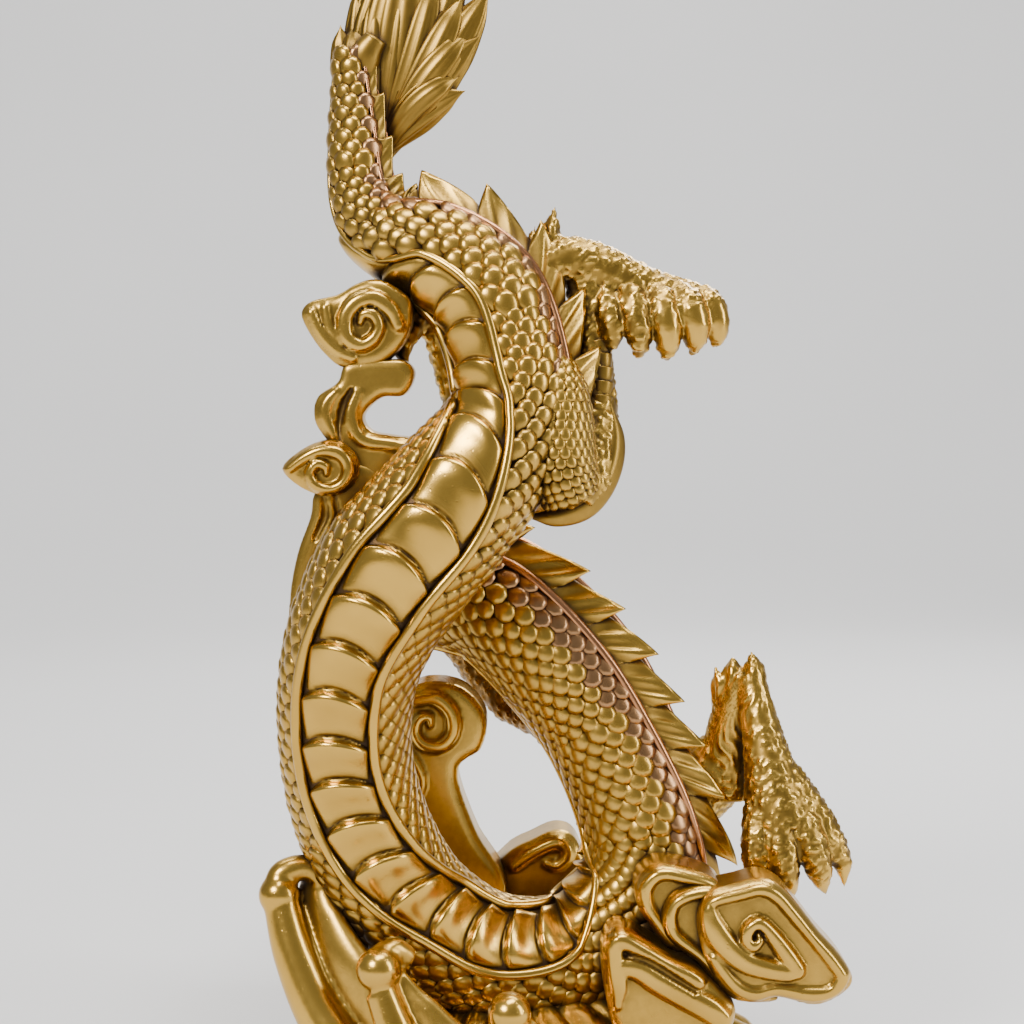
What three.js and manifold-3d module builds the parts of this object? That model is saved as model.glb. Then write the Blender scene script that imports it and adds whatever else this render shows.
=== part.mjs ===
// A brass dragon rising out of cloud scrolls: one hollow casting, fused to its own low plinth.
// Millimetres, +Z up. The plinth's flat underside is Z = 0. Looking along +Y shows the dragon's
// back: the tail is at the top, the body winds down in an S, and the neck turns away to the head.
import * as THREE from "three";
import { mergeVertices } from "three/addons/utils/BufferGeometryUtils.js";
import Module from "manifold-3d";

const wasm = await Module();
wasm.setup();

// Driving dimensions.
const BODY_RADIUS = 25; // of the trunk at its fullest, which the reliefs below are for
const PLATE_PITCH = 17.5; // length of one belly plate along the body
const PLATE_RISE = 2.6; // how far a plate's free edge stands above the next plate
const PLATE_BOW = 5; // how far the free edge bows towards the tail
const EDGE_SHARE = 0.1; // the part of the pitch over which a plate's edge and a fin rise
const BELLY_HALF = 36; // degrees from the belly's middle to the top of its rim
const RIM_RISE = 2;
const CHANNEL_DEPTH = 1.6; // between a rim and the plates' ends
const FLANK_SHARES = [0.27, 0.54, 0.81]; // where the flank's edges lie between rim and crest
const RIDGE_RISE = 4; // the crest's own ridge, between its fins
const FIN_HEIGHT = 12;
const FIN_LEAN = 6; // how far a fin's tip leans towards the tail
const OUTLINE_STEPS = 1.5; // straight stretches of a cloud's outline to each of its points
const PILLOW = 2; // how far a cloud's edge is rounded off
const SCROLL_RELIEF = 2.6; // how far a cloud's curl stands out of its face
const BALL_RADIUS = 8;
const PLINTH_LENGTH = 172;
const PLINTH_DEPTH = 142;
const PLINTH_CENTRE_Y = 14;

// The body's middle line from the tail's end to the neck: x, y, z, radius, then the directions
// in which the belly and the crest face, in degrees round the body from the side seen.
const BODY = [
  [-75, 16, 414, 7, -117, 65],
  [-73, 13, 385, 10.5, -117, 65],
  [-70, 9, 356, 13.2, -108, 68],
  [-60, 4, 341, 16.7, -78, 76],
  [-39.5, -3, 333, 20.9, -46, 86],
  [-20, -9.5, 316, 23, -44, 88],
  [-10.5, -17, 287, 23, -48, 88],
  [-13, -23, 265, 23.3, -40, 98],
  [-35, -32, 236, 26.9, -3, 145],
  [-59, -34, 207, 28.3, 0, 176],
  [-74, -29, 173, 25.5, -5, 176],
  [-76, -20, 134, 24.4, -4, 176],
  [-67, -14, 100, 24.6, 8, 184],
  [-49, -8, 70, 24.9, 34, 208],
  [-20, -2, 50, 25.1, 40, 218],
  [15, 5, 49, 25.3, 56, 234],
  [40, 11, 73, 25.8, 88, 262],
  [43, 15, 102, 24.7, 112, 285],
  [30, 19, 138, 24.7, 122, 297],
  [12, 22.5, 166, 26.6, 127, 299],
  [-16, 28, 192, 25.7, 122, 294],
  [-43, 45, 197, 24, 106, 281],
  [-58, 74, 198, 22.8, 94, 274],
  [-62, 100, 198, 21, 90, 270],
];

const radians = THREE.MathUtils.degToRad;
const vector = (x, y, z) => new THREE.Vector3(x, y, z);

// A closed three.js geometry as a solid: only its positions matter, and its seams are merged.
function solidOf(geometry) {
  const bare = new THREE.BufferGeometry();
  bare.setAttribute("position", geometry.getAttribute("position"));
  bare.setIndex(geometry.index);
  const merged = mergeVertices(bare, 1e-4);
  const corners = merged.index.array;
  const triangles = [];
  for (let i = 0; i < corners.length; i += 3) {
    const [a, b, c] = corners.slice(i, i + 3);
    if (a !== b && b !== c && c !== a) triangles.push(a, b, c);
  }
  const made = new wasm.Manifold(
    new wasm.Mesh({
      numProp: 3,
      vertProperties: merged.attributes.position.array,
      triVerts: new Uint32Array(triangles),
    }),
  );
  if (made.volume() < 0) throw new Error("a shape is inside out");
  return made;
}

// A closed skin over rings of points that run from one end of a form to the other.
function loft(rings) {
  const sides = rings[0].length;
  const middle = (ring) =>
    ring.reduce((sum, point) => sum.add(point), vector(0, 0, 0)).divideScalar(sides);
  const points = [...rings.flat(), middle(rings[0]), middle(rings.at(-1))];
  const first = points.length - 2;
  const last = points.length - 1;
  const faces = [];
  for (let side = 0; side < sides; side += 1) {
    const next = (side + 1) % sides;
    faces.push(first, side, next);
    for (let ring = 0; ring + 1 < rings.length; ring += 1) {
      const near = ring * sides;
      const far = near + sides;
      faces.push(near + side, far + next, near + next);
      faces.push(near + side, far + side, far + next);
    }
    const end = (rings.length - 1) * sides;
    faces.push(end + next, end + side, last);
  }
  const geometry = new THREE.BufferGeometry().setFromPoints(points);
  geometry.setIndex(faces);
  return solidOf(geometry);
}

// A smooth route through stations of x, y, z and any further values. It returns at(distance),
// which gives the place, the way it runs, a front, a side and the values. The front stays turned
// to the side seen, or is carried along the route without a twist.
function routeThrough(stations, { front = vector(0, -1, 0), carried = true } = {}) {
  const curve = new THREE.CatmullRomCurve3(
    stations.map(([x, y, z]) => vector(x, y, z)),
    false,
    "catmullrom",
    0.5,
  );
  const spans = stations.length - 1;
  const extras = stations.map((station) => station.slice(3));
  const stops = [];
  let along = 0;
  let facing = front.clone();
  let before = null;
  for (let step = 0; step <= spans * 12; step += 1) {
    const share = step / (spans * 12);
    const point = curve.getPoint(share);
    const way = curve.getTangent(share);
    if (before) along += point.distanceTo(before);
    if (!carried) facing = front;
    facing = facing.clone().addScaledVector(way, -facing.dot(way)).normalize();
    before = point;
    stops.push({ along, share, facing });
  }
  const smooth = (column, share) => {
    const at = Math.min(share * spans, spans - 1e-9);
    const i = Math.floor(at);
    const pick = (k) => extras[THREE.MathUtils.clamp(k, 0, spans)][column];
    const t = at - i;
    const slopeIn = (pick(i + 1) - pick(i - 1)) / 2;
    const slopeOut = (pick(i + 2) - pick(i)) / 2;
    const rise = pick(i + 1) - pick(i);
    const bend = 3 * rise - 2 * slopeIn - slopeOut;
    const ease = slopeIn + slopeOut - 2 * rise;
    return pick(i) + slopeIn * t + bend * t * t + ease * t * t * t;
  };
  const at = (distance) => {
    const wanted = THREE.MathUtils.clamp(distance, 0, along);
    let k = 1;
    while (k < stops.length - 1 && stops[k].along < wanted) k += 1;
    const [from, to] = [stops[k - 1], stops[k]];
    const t = (wanted - from.along) / (to.along - from.along);
    const share = THREE.MathUtils.lerp(from.share, to.share, t);
    const way = curve.getTangent(share);
    const face = from.facing.clone().lerp(to.facing, t);
    face.addScaledVector(way, -face.dot(way)).normalize();
    const side = face.clone().cross(way);
    const values = extras[0].map((_, column) => smooth(column, share));
    return { point: curve.getPoint(share), way, face, side, values };
  };
  return { at, length: along };
}

// The point at an angle and a radius round a place on a route.
function around(place, degrees, radius) {
  const a = radians(degrees);
  return place.point
    .clone()
    .addScaledVector(place.face, Math.cos(a) * radius)
    .addScaledVector(place.side, Math.sin(a) * radius);
}

// A tapering form along stations of x, y, z, half width. Its thickness towards the front is
// the width times flat, and a width of 0 at an end makes a point.
function limb(stations, { sides = 7, rings = 5, flat = 1, front } = {}) {
  const route = routeThrough(stations, { front });
  const skin = [];
  for (let ring = 0; ring < rings; ring += 1) {
    const place = route.at((route.length * ring) / (rings - 1));
    const width = Math.max(place.values[0], 0);
    const points = [];
    for (let side = 0; side < sides; side += 1) {
      const a = (2 * Math.PI * (side + 0.5)) / sides;
      points.push(
        place.point
          .clone()
          .addScaledVector(place.face, Math.cos(a) * width * flat)
          .addScaledVector(place.side, Math.sin(a) * width),
      );
    }
    skin.push(points);
  }
  return loft(skin);
}

const join = (solids) => solids.reduce((sum, solid) => sum.add(solid));

const body = routeThrough(BODY, { carried: false });

// The trunk: plates across the belly between two rims, and a crest of fins down the back. Each
// plate and each fin starts at the same ring, and both lean over the one nearer the tail.
function trunk() {
  const plateAngles = [0, 16, 29];
  const plates = Math.floor(body.length / PLATE_PITCH);
  const pitch = body.length / plates;
  const ring = (start, raised) => {
    const place = body.at(start);
    const [radius, belly, crest] = place.values;
    const small = radius / BODY_RADIUS;
    const plateAt = (angle) => {
      const across = angle / plateAngles.at(-1);
      const bowed = body.at(start - PLATE_BOW * (1 - across ** 2));
      const rise = (raised ? PLATE_RISE * (1 - 0.5 * across ** 2) : 0) - CHANNEL_DEPTH * across ** 2;
      return around(bowed, bowed.values[1] + angle, bowed.values[0] + small * rise);
    };
    const rim = (sign) => around(place, belly + sign * BELLY_HALF, radius + RIM_RISE * small);
    const flank = (from, to, shares) =>
      shares.map((share) => around(place, THREE.MathUtils.lerp(from, to, share), radius));
    const finGrowth = THREE.MathUtils.lerp(0.3, 1, THREE.MathUtils.smoothstep(start, 60, 150));
    const leaning = body.at(start - (raised ? FIN_LEAN * finGrowth : 0));
    const finRise = raised ? FIN_HEIGHT * finGrowth : RIDGE_RISE * small;
    return [
      ...plateAngles.map(plateAt),
      rim(1),
      ...flank(belly + BELLY_HALF, crest, FLANK_SHARES),
      around(leaning, leaning.values[2], leaning.values[0] + finRise),
      ...flank(belly + 360 - BELLY_HALF, crest, FLANK_SHARES).reverse(),
      rim(-1),
      ...plateAngles.slice(1).reverse().map((angle) => plateAt(-angle)),
    ];
  };
  const skin = [];
  for (let plate = 0; plate < plates; plate += 1) {
    skin.push(ring(plate * pitch, false));
    skin.push(ring((plate + EDGE_SHARE) * pitch, true));
  }
  skin.push(ring(body.length, false));
  return loft(skin);
}

// The flame tuft at the end of the tail: locks fanning out of one root.
function tuft() {
  const root = [-64, 19, 372];
  const tips = [
    [-31, 12, 401, 7, 4],
    [-24, 12, 423, 9, 6],
    [-20, 14, 442, 10, 6],
    [-30, 16, 457, 9, 4],
    [-46, 18, 464, 9, 1],
    [-63, 20, 460, 9, -2],
    [-77, 20, 446, 8, -4],
    [-83, 18, 424, 7, -5],
  ];
  const locks = tips.map(([x, y, z, width, sag]) => {
    const middle = [(root[0] + x) / 2 + sag, (root[1] + y) / 2, (root[2] + z) / 2 - sag];
    const late = [root[0] * 0.2 + x * 0.8 + sag * 0.6, y, root[2] * 0.2 + z * 0.8 - sag];
    return limb(
      [[...root, 5], [...middle, width], [...late, width * 0.8], [x, y, z, 0]],
      { sides: 4, rings: 5, flat: 0.75 },
    );
  });
  const heart = limb(
    [
      [-66, 18, 368, 4],
      [-58, 20, 392, 15],
      [-55, 20, 420, 24],
      [-52, 19, 446, 18],
      [-50, 18, 458, 8],
    ],
    { sides: 8, rings: 6, flat: 0.42 },
  );
  return join([heart, ...locks]);
}

// A foot: a knuckled palm, toes fanned about it and a hooked nail on each.
// heel and ball are the ends of the palm, spread is the fan's direction, drop is down for it.
function foot({ heel, ball, spread, drop, palm, toe, toes = 4, curl = 1, back = true }) {
  const from = vector(...heel);
  const to = vector(...ball);
  const way = to.clone().sub(from).normalize();
  const across = vector(...spread).normalize();
  const down = vector(...drop).normalize();
  const parts = [
    limb([[...heel, palm * 0.62], [...from.clone().lerp(to, 0.55), palm], [...ball, palm * 0.95]], {
      sides: 6,
      rings: 3,
      flat: 0.75,
      front: down,
    }),
  ];
  for (let i = 0; i < toes; i += 1) {
    const share = toes === 1 ? 0 : i / (toes - 1) - 0.5;
    const place = (forward, side, sink) =>
      to
        .clone()
        .addScaledVector(way, forward * toe)
        .addScaledVector(across, side * toe * share)
        .addScaledVector(down, sink * toe)
        .toArray();
    const reach = 1 - 0.5 * Math.abs(share);
    parts.push(
      limb(
        [
          [...place(-0.8, 1.6, 0), toe * 0.42],
          [...place(0.9 * reach, 2.7, -0.1), toe * 0.5],
          [...place(1.5 * reach, 3, 0.9 * curl), toe * 0.42],
          [...place(1.25 * reach, 2.9, 1.9 * curl), 0],
        ],
        { sides: 5, rings: 4, front: down },
      ),
    );
  }
  if (back) {
    const spur = from.clone().addScaledVector(way, -toe * 1.2).addScaledVector(down, -toe * 1.1);
    parts.push(limb([[...heel, palm * 0.5], [...spur.toArray(), 0]], { sides: 5, rings: 3 }));
  }
  return join(parts);
}

function legs() {
  const nearHind = [
    limb([[2, -22, 292, 9], [7, -27, 272, 13], [7, -29, 254, 14.5], [12, -26, 239, 11]], {
      rings: 5,
      sides: 9,
    }),
    limb(
      [[12, -25, 238, 9], [20, -16, 250, 11.5], [22, -9, 276, 8.5], [21, -5, 300, 7.5], [19, -4, 326, 8]],
      { rings: 7 },
    ),
    limb([[-4, -6, 318, 9], [8, -5, 331, 8.5], [20, -4, 327, 9], [30, -4, 320, 9]], { rings: 6 }),
    limb([[5, -5, 333, 5.5], [4, -5, 343, 3.6], [6, -5, 352, 0]], { sides: 5, rings: 4 }),
    foot({
      heel: [26, -4, 323],
      ball: [50, -4, 311],
      spread: [0.45, 0.9, 0.2],
      drop: [-0.3, 0, -1],
      palm: 15,
      toe: 11,
      toes: 5,
      curl: 0.75,
      back: false,
    }),
  ];
  const farHind = [
    limb([[-14, 6, 262, 10], [-26, 16, 262, 10], [-36, 20, 276, 8], [-43, 18, 298, 7], [-47, 14, 310, 7]], {
      rings: 7,
    }),
    foot({
      heel: [-46, 15, 311],
      ball: [-54, 10, 302],
      spread: [-0.3, 1, 0],
      drop: [0, 0, -1],
      palm: 7,
      toe: 5.5,
      toes: 3,
    }),
  ];
  const nearFront = [
    limb([[44, 30, 108, 16], [58, 31, 112, 19], [72, 30, 118, 17], [78, 27, 128, 11]], {
      rings: 5,
      sides: 9,
    }),
    limb([[75, 28, 118, 11], [78, 25, 140, 9], [82, 20, 158, 7], [87, 17, 163, 5]], { rings: 6 }),
    limb([[80, 21, 154, 6], [79, 20, 164, 3.4], [77, 20, 170, 0]], { sides: 5, rings: 4 }),
    limb([[86, 17, 158, 6], [87, 16, 165, 3.2], [85, 16, 171, 0]], { sides: 5, rings: 4 }),
    limb([[86, 17, 162, 5], [89, 13, 148, 6], [93, 9, 126, 9.5], [99, 6, 106, 13]], { rings: 6 }),
    foot({
      heel: [95, 8, 118],
      ball: [102, 4, 99],
      spread: [0.9, 0.4, 0.35],
      drop: [0.35, -0.45, -0.75],
      palm: 16,
      toe: 10,
      toes: 4,
      curl: 0.45,
      back: false,
    }),
  ];
  const farFront = [
    limb([[-44, 78, 188, 13], [-30, 84, 170, 13], [-20, 80, 152, 10], [-12, 70, 142, 8]], {
      rings: 6,
    }),
    foot({
      heel: [-14, 72, 143],
      ball: [0, 62, 136],
      spread: [0.3, 1, 0],
      drop: [0.2, 0, -1],
      palm: 9,
      toe: 7,
      toes: 3,
      curl: 0.8,
    }),
  ];
  return join([...nearHind, ...farHind, ...nearFront, ...farFront]);
}

// A flat cloud form: an outline of x, z points drawn smooth, thick in y, pillowed at its edge.
function cloudPlate(outline, y, thickness, pillowed = true) {
  const shape = new THREE.Shape();
  const curve = new THREE.CatmullRomCurve3(
    outline.map(([x, z]) => vector(x, z, 0)),
    true,
  );
  const steps = Math.round(outline.length * OUTLINE_STEPS);
  for (let step = 0; step < steps; step += 1) {
    const { x, y: up } = curve.getPoint(step / steps);
    if (step) shape.lineTo(x, up);
    else shape.moveTo(x, up);
  }
  shape.closePath();
  const geometry = new THREE.ExtrudeGeometry(shape, {
    depth: pillowed ? thickness - 2 * PILLOW : thickness,
    bevelEnabled: pillowed,
    bevelThickness: PILLOW,
    bevelSize: PILLOW,
    bevelOffset: -PILLOW,
    bevelSegments: 1,
  });
  geometry.rotateX(Math.PI / 2);
  geometry.translate(0, y + thickness / 2 - (pillowed ? PILLOW : 0), 0);
  return solidOf(geometry);
}

// A curl that winds outwards on a cloud's face, turns counted from its eye.
function curl(x, y, z, { radius, turns = 1.6, width = 3, start = 0, hand = 1, stretch = 1 }) {
  const stations = [];
  const steps = Math.round(turns * 7);
  for (let step = 0; step <= steps; step += 1) {
    const share = step / steps;
    const angle = radians(start) + hand * share * turns * 2 * Math.PI;
    const reach = radius * (0.12 + 0.88 * share ** 0.9);
    stations.push([
      x + Math.cos(angle) * reach * stretch,
      y,
      z + Math.sin(angle) * reach,
      width * (0.75 + 0.25 * share),
    ]);
  }
  return limb(stations, { sides: 4, rings: steps + 1 });
}

function clouds() {
  const upperScroll = cloudPlate(
    [[-50, 316], [-59, 323], [-70, 321], [-79, 316], [-91, 313], [-93, 305], [-86, 295],
      [-76, 289], [-60, 291], [-50, 300]],
    -10,
    20,
  );
  const upperNeck = cloudPlate(
    [[-58, 292], [-75, 290], [-80, 283], [-87, 275], [-86, 266], [-79, 259], [-74, 250],
      [-66, 243], [-40, 240], [-38, 254], [-46, 262], [-56, 262], [-66, 264], [-69, 270],
      [-62, 277], [-53, 278], [-49, 286], [-52, 291]],
    -11,
    16,
  );
  const lowerScroll = cloudPlate(
    [[-100, 251], [-91, 257], [-82, 260], [-75, 255], [-72, 247], [-76, 239], [-86, 238],
      [-95, 242]],
    -18,
    22,
  );
  const strip = cloudPlate(
    [[-76, 246], [-88, 239], [-93, 221], [-97, 200], [-98, 184], [-88, 186], [-76, 212],
      [-68, 236]],
    -14,
    16,
    false,
  );
  const rightScroll = cloudPlate(
    [[62, 80], [70, 86], [85, 89], [96, 83], [108, 67], [121, 51], [117, 42], [104, 40],
      [88, 41], [74, 44], [64, 56]],
    -32,
    22,
  );
  const rightLobes = cloudPlate(
    [[40, 92], [50, 94], [62, 91], [72, 86], [76, 70], [70, 52], [58, 54], [46, 66], [38, 80]],
    -24,
    22,
  );
  const ribbon = cloudPlate(
    [[23, 64], [30, 71], [48, 63], [63, 52], [74, 42], [72, 22], [60, 8], [34, 8], [26, 30],
      [27, 50]],
    -32,
    20,
    false,
  );
  const farScroll = cloudPlate(
    [[-60, 148], [-48, 156], [-32, 154], [-22, 142], [-24, 128], [-34, 118], [-26, 92],
      [-14, 70], [-18, 40], [-60, 36], [-62, 70], [-56, 110], [-64, 132]],
    52,
    26,
    false,
  );
  const farHump = cloudPlate(
    [[-26, 60], [-14, 78], [-2, 85], [10, 86], [20, 76], [34, 60], [44, 40], [30, 24], [-20, 24]],
    70,
    24,
    false,
  );
  const face = SCROLL_RELIEF;
  const curls = [
    curl(-68, -20 + face / 2, 307, { radius: 9.5, start: 200, hand: -1, width: 2.4 }),
    curl(88, -43 + face / 2, 66, { radius: 14, start: 120, hand: 1, width: 3.4, stretch: 1.15 }),
  ];
  return join([
    upperScroll,
    upperNeck,
    lowerScroll,
    strip,
    rightScroll,
    rightLobes,
    ribbon,
    farScroll,
    farHump,
    ...curls,
  ]);
}

// The plinth: a low oval mound, cut flat below, with three waves that end in round beads.
function plinth() {
  const levels = [
    [0, 1],
    [7, 1.06],
    [18, 0.98],
    [30, 0.72],
    [40, 0.42],
  ];
  const sides = 20;
  const rings = levels.map(([height, share]) => {
    const ring = [];
    for (let side = 0; side < sides; side += 1) {
      const a = (-2 * Math.PI * side) / sides;
      const lobes = 1 + 0.035 * Math.cos(6 * a);
      ring.push(
        vector(
          Math.cos(a) * (PLINTH_LENGTH / 2) * share * lobes,
          PLINTH_CENTRE_Y + Math.sin(a) * (PLINTH_DEPTH / 2) * share * lobes,
          height,
        ),
      );
    }
    return ring;
  });
  const wave = (stations, front) => limb(stations, { sides: 7, rings: 5, flat: 0.4, front });
  const bead = (x, y, z) => {
    const ball = new THREE.SphereGeometry(BALL_RADIUS, 8, 6);
    ball.translate(x, y, z);
    return solidOf(ball);
  };
  return join([
    loft(rings),
    wave(
      [[-36, -34, 12, 26], [-66, -34, 28, 27], [-87, -27, 50, 24], [-94, -22, 72, 15], [-97, -22, 82, 8]],
      vector(-0.6, -1, -0.4),
    ),
    wave(
      [[-10, -48, 10, 20], [-40, -52, 24, 20], [-56, -52, 40, 14], [-62, -51, 56, 8]],
      vector(-0.5, -1, -0.3),
    ),
    wave(
      [[40, -46, 10, 18], [12, -54, 18, 17], [-4, -58, 30, 12], [-12, -58, 42, 8]],
      vector(-0.2, -1, -0.2),
    ),
    bead(-102, -25, 83),
    bead(-62, -52, 61),
    bead(-12, -59, 46),
  ]);
}

// The head, made looking along +X with its neck at the origin, then turned to look along +Y.
function head() {
  const pair = (make) => [make(1), make(-1)];
  const up = vector(0, 0, 1);
  const slim = { sides: 4, rings: 4 };
  const parts = [
    limb(
      [[-14, 0, -2, 19], [4, 0, 2, 22], [26, 0, 6, 20], [46, 0, 4, 14], [64, 0, 2, 12.5], [78, 0, 3, 8]],
      { sides: 10, rings: 7, flat: 0.82, front: up },
    ),
    limb([[6, 0, -14, 13], [28, 0, -19, 12], [48, 0, -25, 9.5], [64, 0, -27, 5]], {
      rings: 4,
      flat: 0.6,
      front: up,
    }),
    limb([[16, 0, -11, 8], [42, 0, -16, 6], [66, 0, -14, 0]], { sides: 4, rings: 4, flat: 0.5, front: up }),
    ...pair((s) => limb([[22, s * 12, 14, 7], [34, s * 12, 18, 6], [44, s * 9, 14, 3]], slim)),
    ...pair((s) => limb([[68, s * 6, 7, 5], [78, s * 7, 9, 5.5], [83, s * 5, 5, 2]], slim)),
    ...pair((s) =>
      limb([[16, s * 9, 16, 6], [0, s * 13, 28, 5], [-16, s * 18, 33, 4], [-30, s * 20, 30, 0]], {
        sides: 5,
        rings: 5,
      }),
    ),
    ...pair((s) => limb([[12, s * 18, 6, 5], [0, s * 28, 10, 6], [-10, s * 34, 16, 0]], slim)),
    ...pair((s) => limb([[56, s * 9, -2, 3], [54, s * 9.5, -15, 0]], { sides: 4, rings: 2 })),
    ...pair((s) =>
      limb([[72, s * 8, 2, 3], [78, s * 20, 2, 2.6], [66, s * 31, 6, 2.3], [48, s * 32, 12, 2], [36, s * 27, 14, 0]], {
        sides: 4,
        rings: 7,
      }),
    ),
  ];
  const locks = 3;
  for (let i = 0; i < locks; i += 1) {
    const tilt = radians(-60 + (i * 120) / (locks - 1));
    const out = Math.cos(tilt);
    const rise = Math.sin(tilt);
    parts.push(
      ...pair((s) =>
        limb(
          [
            [12, s * 14 * out, 14 * rise, 11],
            [-8, s * 29 * out, 27 * rise, 11],
            [-36, s * 37 * out, 35 * rise + 3, 0],
          ],
          { sides: 5, rings: 4, flat: 0.6, front: vector(0, s * out, rise) },
        ),
      ),
    );
  }
  const neck = body.at(body.length);
  const turn = new THREE.Matrix4().makeBasis(
    vector(0.06, 0.995, -0.08).normalize(),
    vector(-0.998, 0.06, 0).normalize(),
    vector(0.0, 0.08, 0.997).normalize(),
  );
  turn.setPosition(neck.point.x + 6, neck.point.y + 6, neck.point.z + 2);
  return join(parts).transform(turn.elements);
}

// What hangs below the underside is cut away, so the casting stands flat.
const below = new THREE.BoxGeometry(400, 400, 40).translate(0, 0, -20);
const whole = join([trunk(), tuft(), legs(), clouds(), plinth(), head()])
  .subtract(solidOf(below));
const made = whole.getMesh();
const geometry = new THREE.BufferGeometry();
geometry.setAttribute("position", new THREE.BufferAttribute(made.vertProperties, 3));
geometry.setIndex(new THREE.BufferAttribute(made.triVerts, 1));
geometry.computeVertexNormals();

const antiqueBrass = new THREE.MeshStandardMaterial({
  color: 0xa98238,
  roughness: 0.36,
  metalness: 1,
  flatShading: true,
});

const dragon = new THREE.Mesh(geometry, antiqueBrass);
dragon.name = "dragon";

const group = new THREE.Group();
group.add(dragon);

export default group;
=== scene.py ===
import math

import bmesh
import bpy
import numpy as np
from mathutils import Matrix, Vector, noise


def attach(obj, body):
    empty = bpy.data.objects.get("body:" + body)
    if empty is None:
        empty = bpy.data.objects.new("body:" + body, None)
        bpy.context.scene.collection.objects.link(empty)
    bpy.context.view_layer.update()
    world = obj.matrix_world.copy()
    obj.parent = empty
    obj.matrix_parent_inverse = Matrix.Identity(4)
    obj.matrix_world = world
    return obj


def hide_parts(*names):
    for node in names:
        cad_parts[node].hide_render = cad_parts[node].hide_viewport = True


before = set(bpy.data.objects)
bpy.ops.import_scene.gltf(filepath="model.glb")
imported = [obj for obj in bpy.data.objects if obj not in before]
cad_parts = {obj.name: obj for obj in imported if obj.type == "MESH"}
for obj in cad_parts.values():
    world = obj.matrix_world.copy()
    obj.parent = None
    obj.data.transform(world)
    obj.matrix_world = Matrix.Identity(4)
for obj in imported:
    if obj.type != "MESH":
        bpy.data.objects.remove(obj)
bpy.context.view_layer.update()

# ---------------------------------------------------------------------------
# Camera, floor and lights. The statue stands on a pale floor that sweeps up
# behind it, among four softboxes and a wash of light on the wall. The camera
# is just above its middle and looks a little down at the dragon's back.
# ---------------------------------------------------------------------------

MM = 0.001
scene = bpy.context.scene

camera_distance = 850.0
camera_drop = math.radians(4.0)
camera_target = (-11.0, 0.0, 231.0)
sensor_width = 36.0
focal_ratio = 2.0751953125
camera_data = bpy.data.cameras.new("camera")
camera_data.sensor_width = sensor_width
camera_data.lens = sensor_width * focal_ratio
camera = bpy.data.objects.new("camera", camera_data)
camera.location = (
    camera_target[0] * MM,
    (camera_target[1] - camera_distance * math.cos(camera_drop)) * MM,
    (camera_target[2] + camera_distance * math.sin(camera_drop)) * MM,
)
camera.rotation_euler = (math.radians(90.0) - camera_drop, 0.0, 0.0)
scene.collection.objects.link(camera)
scene.camera = camera


def softbox(name, place, aim, size, watts, tint=(1.0, 1.0, 1.0)):
    """A rectangular area light that faces the point aim."""
    data = bpy.data.lights.new(name, "AREA")
    data.shape = "RECTANGLE"
    data.size, data.size_y = size
    data.energy = watts
    data.color = tint
    lamp = bpy.data.objects.new(name, data)
    lamp.location = place
    lamp.rotation_euler = (Vector(aim) - Vector(place)).to_track_quat("-Z", "Y").to_euler()
    scene.collection.objects.link(lamp)
    return lamp


statue_middle = (-0.01, 0.0, 0.22)
softbox("softbox_left", (-0.75, -1.0, 1.05), statue_middle, (0.45, 0.45), 21.0, (1.0, 0.98, 0.94))
softbox("softbox_right", (1.25, -0.45, 0.65), statue_middle, (0.25, 1.1), 11.0, (0.97, 0.98, 1.0))
softbox("softbox_top", (0.15, -0.25, 1.5), statue_middle, (0.9, 0.35), 16.0)
softbox("softbox_back", (0.45, 1.1, 1.0), statue_middle, (0.6, 0.4), 12.0)
softbox("wall_wash", (0.0, 0.9, 2.6), (0.0, 2.5, 1.0), (3.0, 0.4), 85.0)


def sweep_floor():
    """The floor, and the wall that it curves up into behind the statue."""
    half_width, front, bend, radius, top, steps = 4.0, -3.5, 1.5, 1.0, 3.4, 12
    profile = [(front, 0.0), (0.0, 0.0), (bend, 0.0)]
    for step in range(1, steps + 1):
        turn = math.radians(90.0) * step / steps
        profile.append((bend + radius * math.sin(turn), radius * (1.0 - math.cos(turn))))
    profile.append((bend + radius, top))
    points = [(side * half_width, y, z) for y, z in profile for side in (-1, 1)]
    faces = [(2 * k, 2 * k + 1, 2 * k + 3, 2 * k + 2) for k in range(len(profile) - 1)]
    mesh = bpy.data.meshes.new("floor")
    mesh.from_pydata(points, [], faces)
    mesh.polygons.foreach_set("use_smooth", [True] * len(faces))
    floor = bpy.data.objects.new("floor", mesh)
    scene.collection.objects.link(floor)
    return floor


class Socket:
    """One output of a shader node, with arithmetic that adds Math nodes."""

    def __init__(self, shader, link):
        self.shader = shader
        self.link = link

    def maths(self, operation, first, second):
        settings = {"operation": operation, "use_clamp": False}
        return self.shader.node("ShaderNodeMath", settings, {0: first, 1: second})

    def __add__(self, other):
        return self.maths("ADD", self, other)

    def __radd__(self, other):
        return self.maths("ADD", other, self)

    def __sub__(self, other):
        return self.maths("SUBTRACT", self, other)

    def __rsub__(self, other):
        return self.maths("SUBTRACT", other, self)

    def __mul__(self, other):
        return self.maths("MULTIPLY", self, other)

    def __rmul__(self, other):
        return self.maths("MULTIPLY", other, self)

    def __pow__(self, other):
        return self.maths("POWER", self, other)


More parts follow.
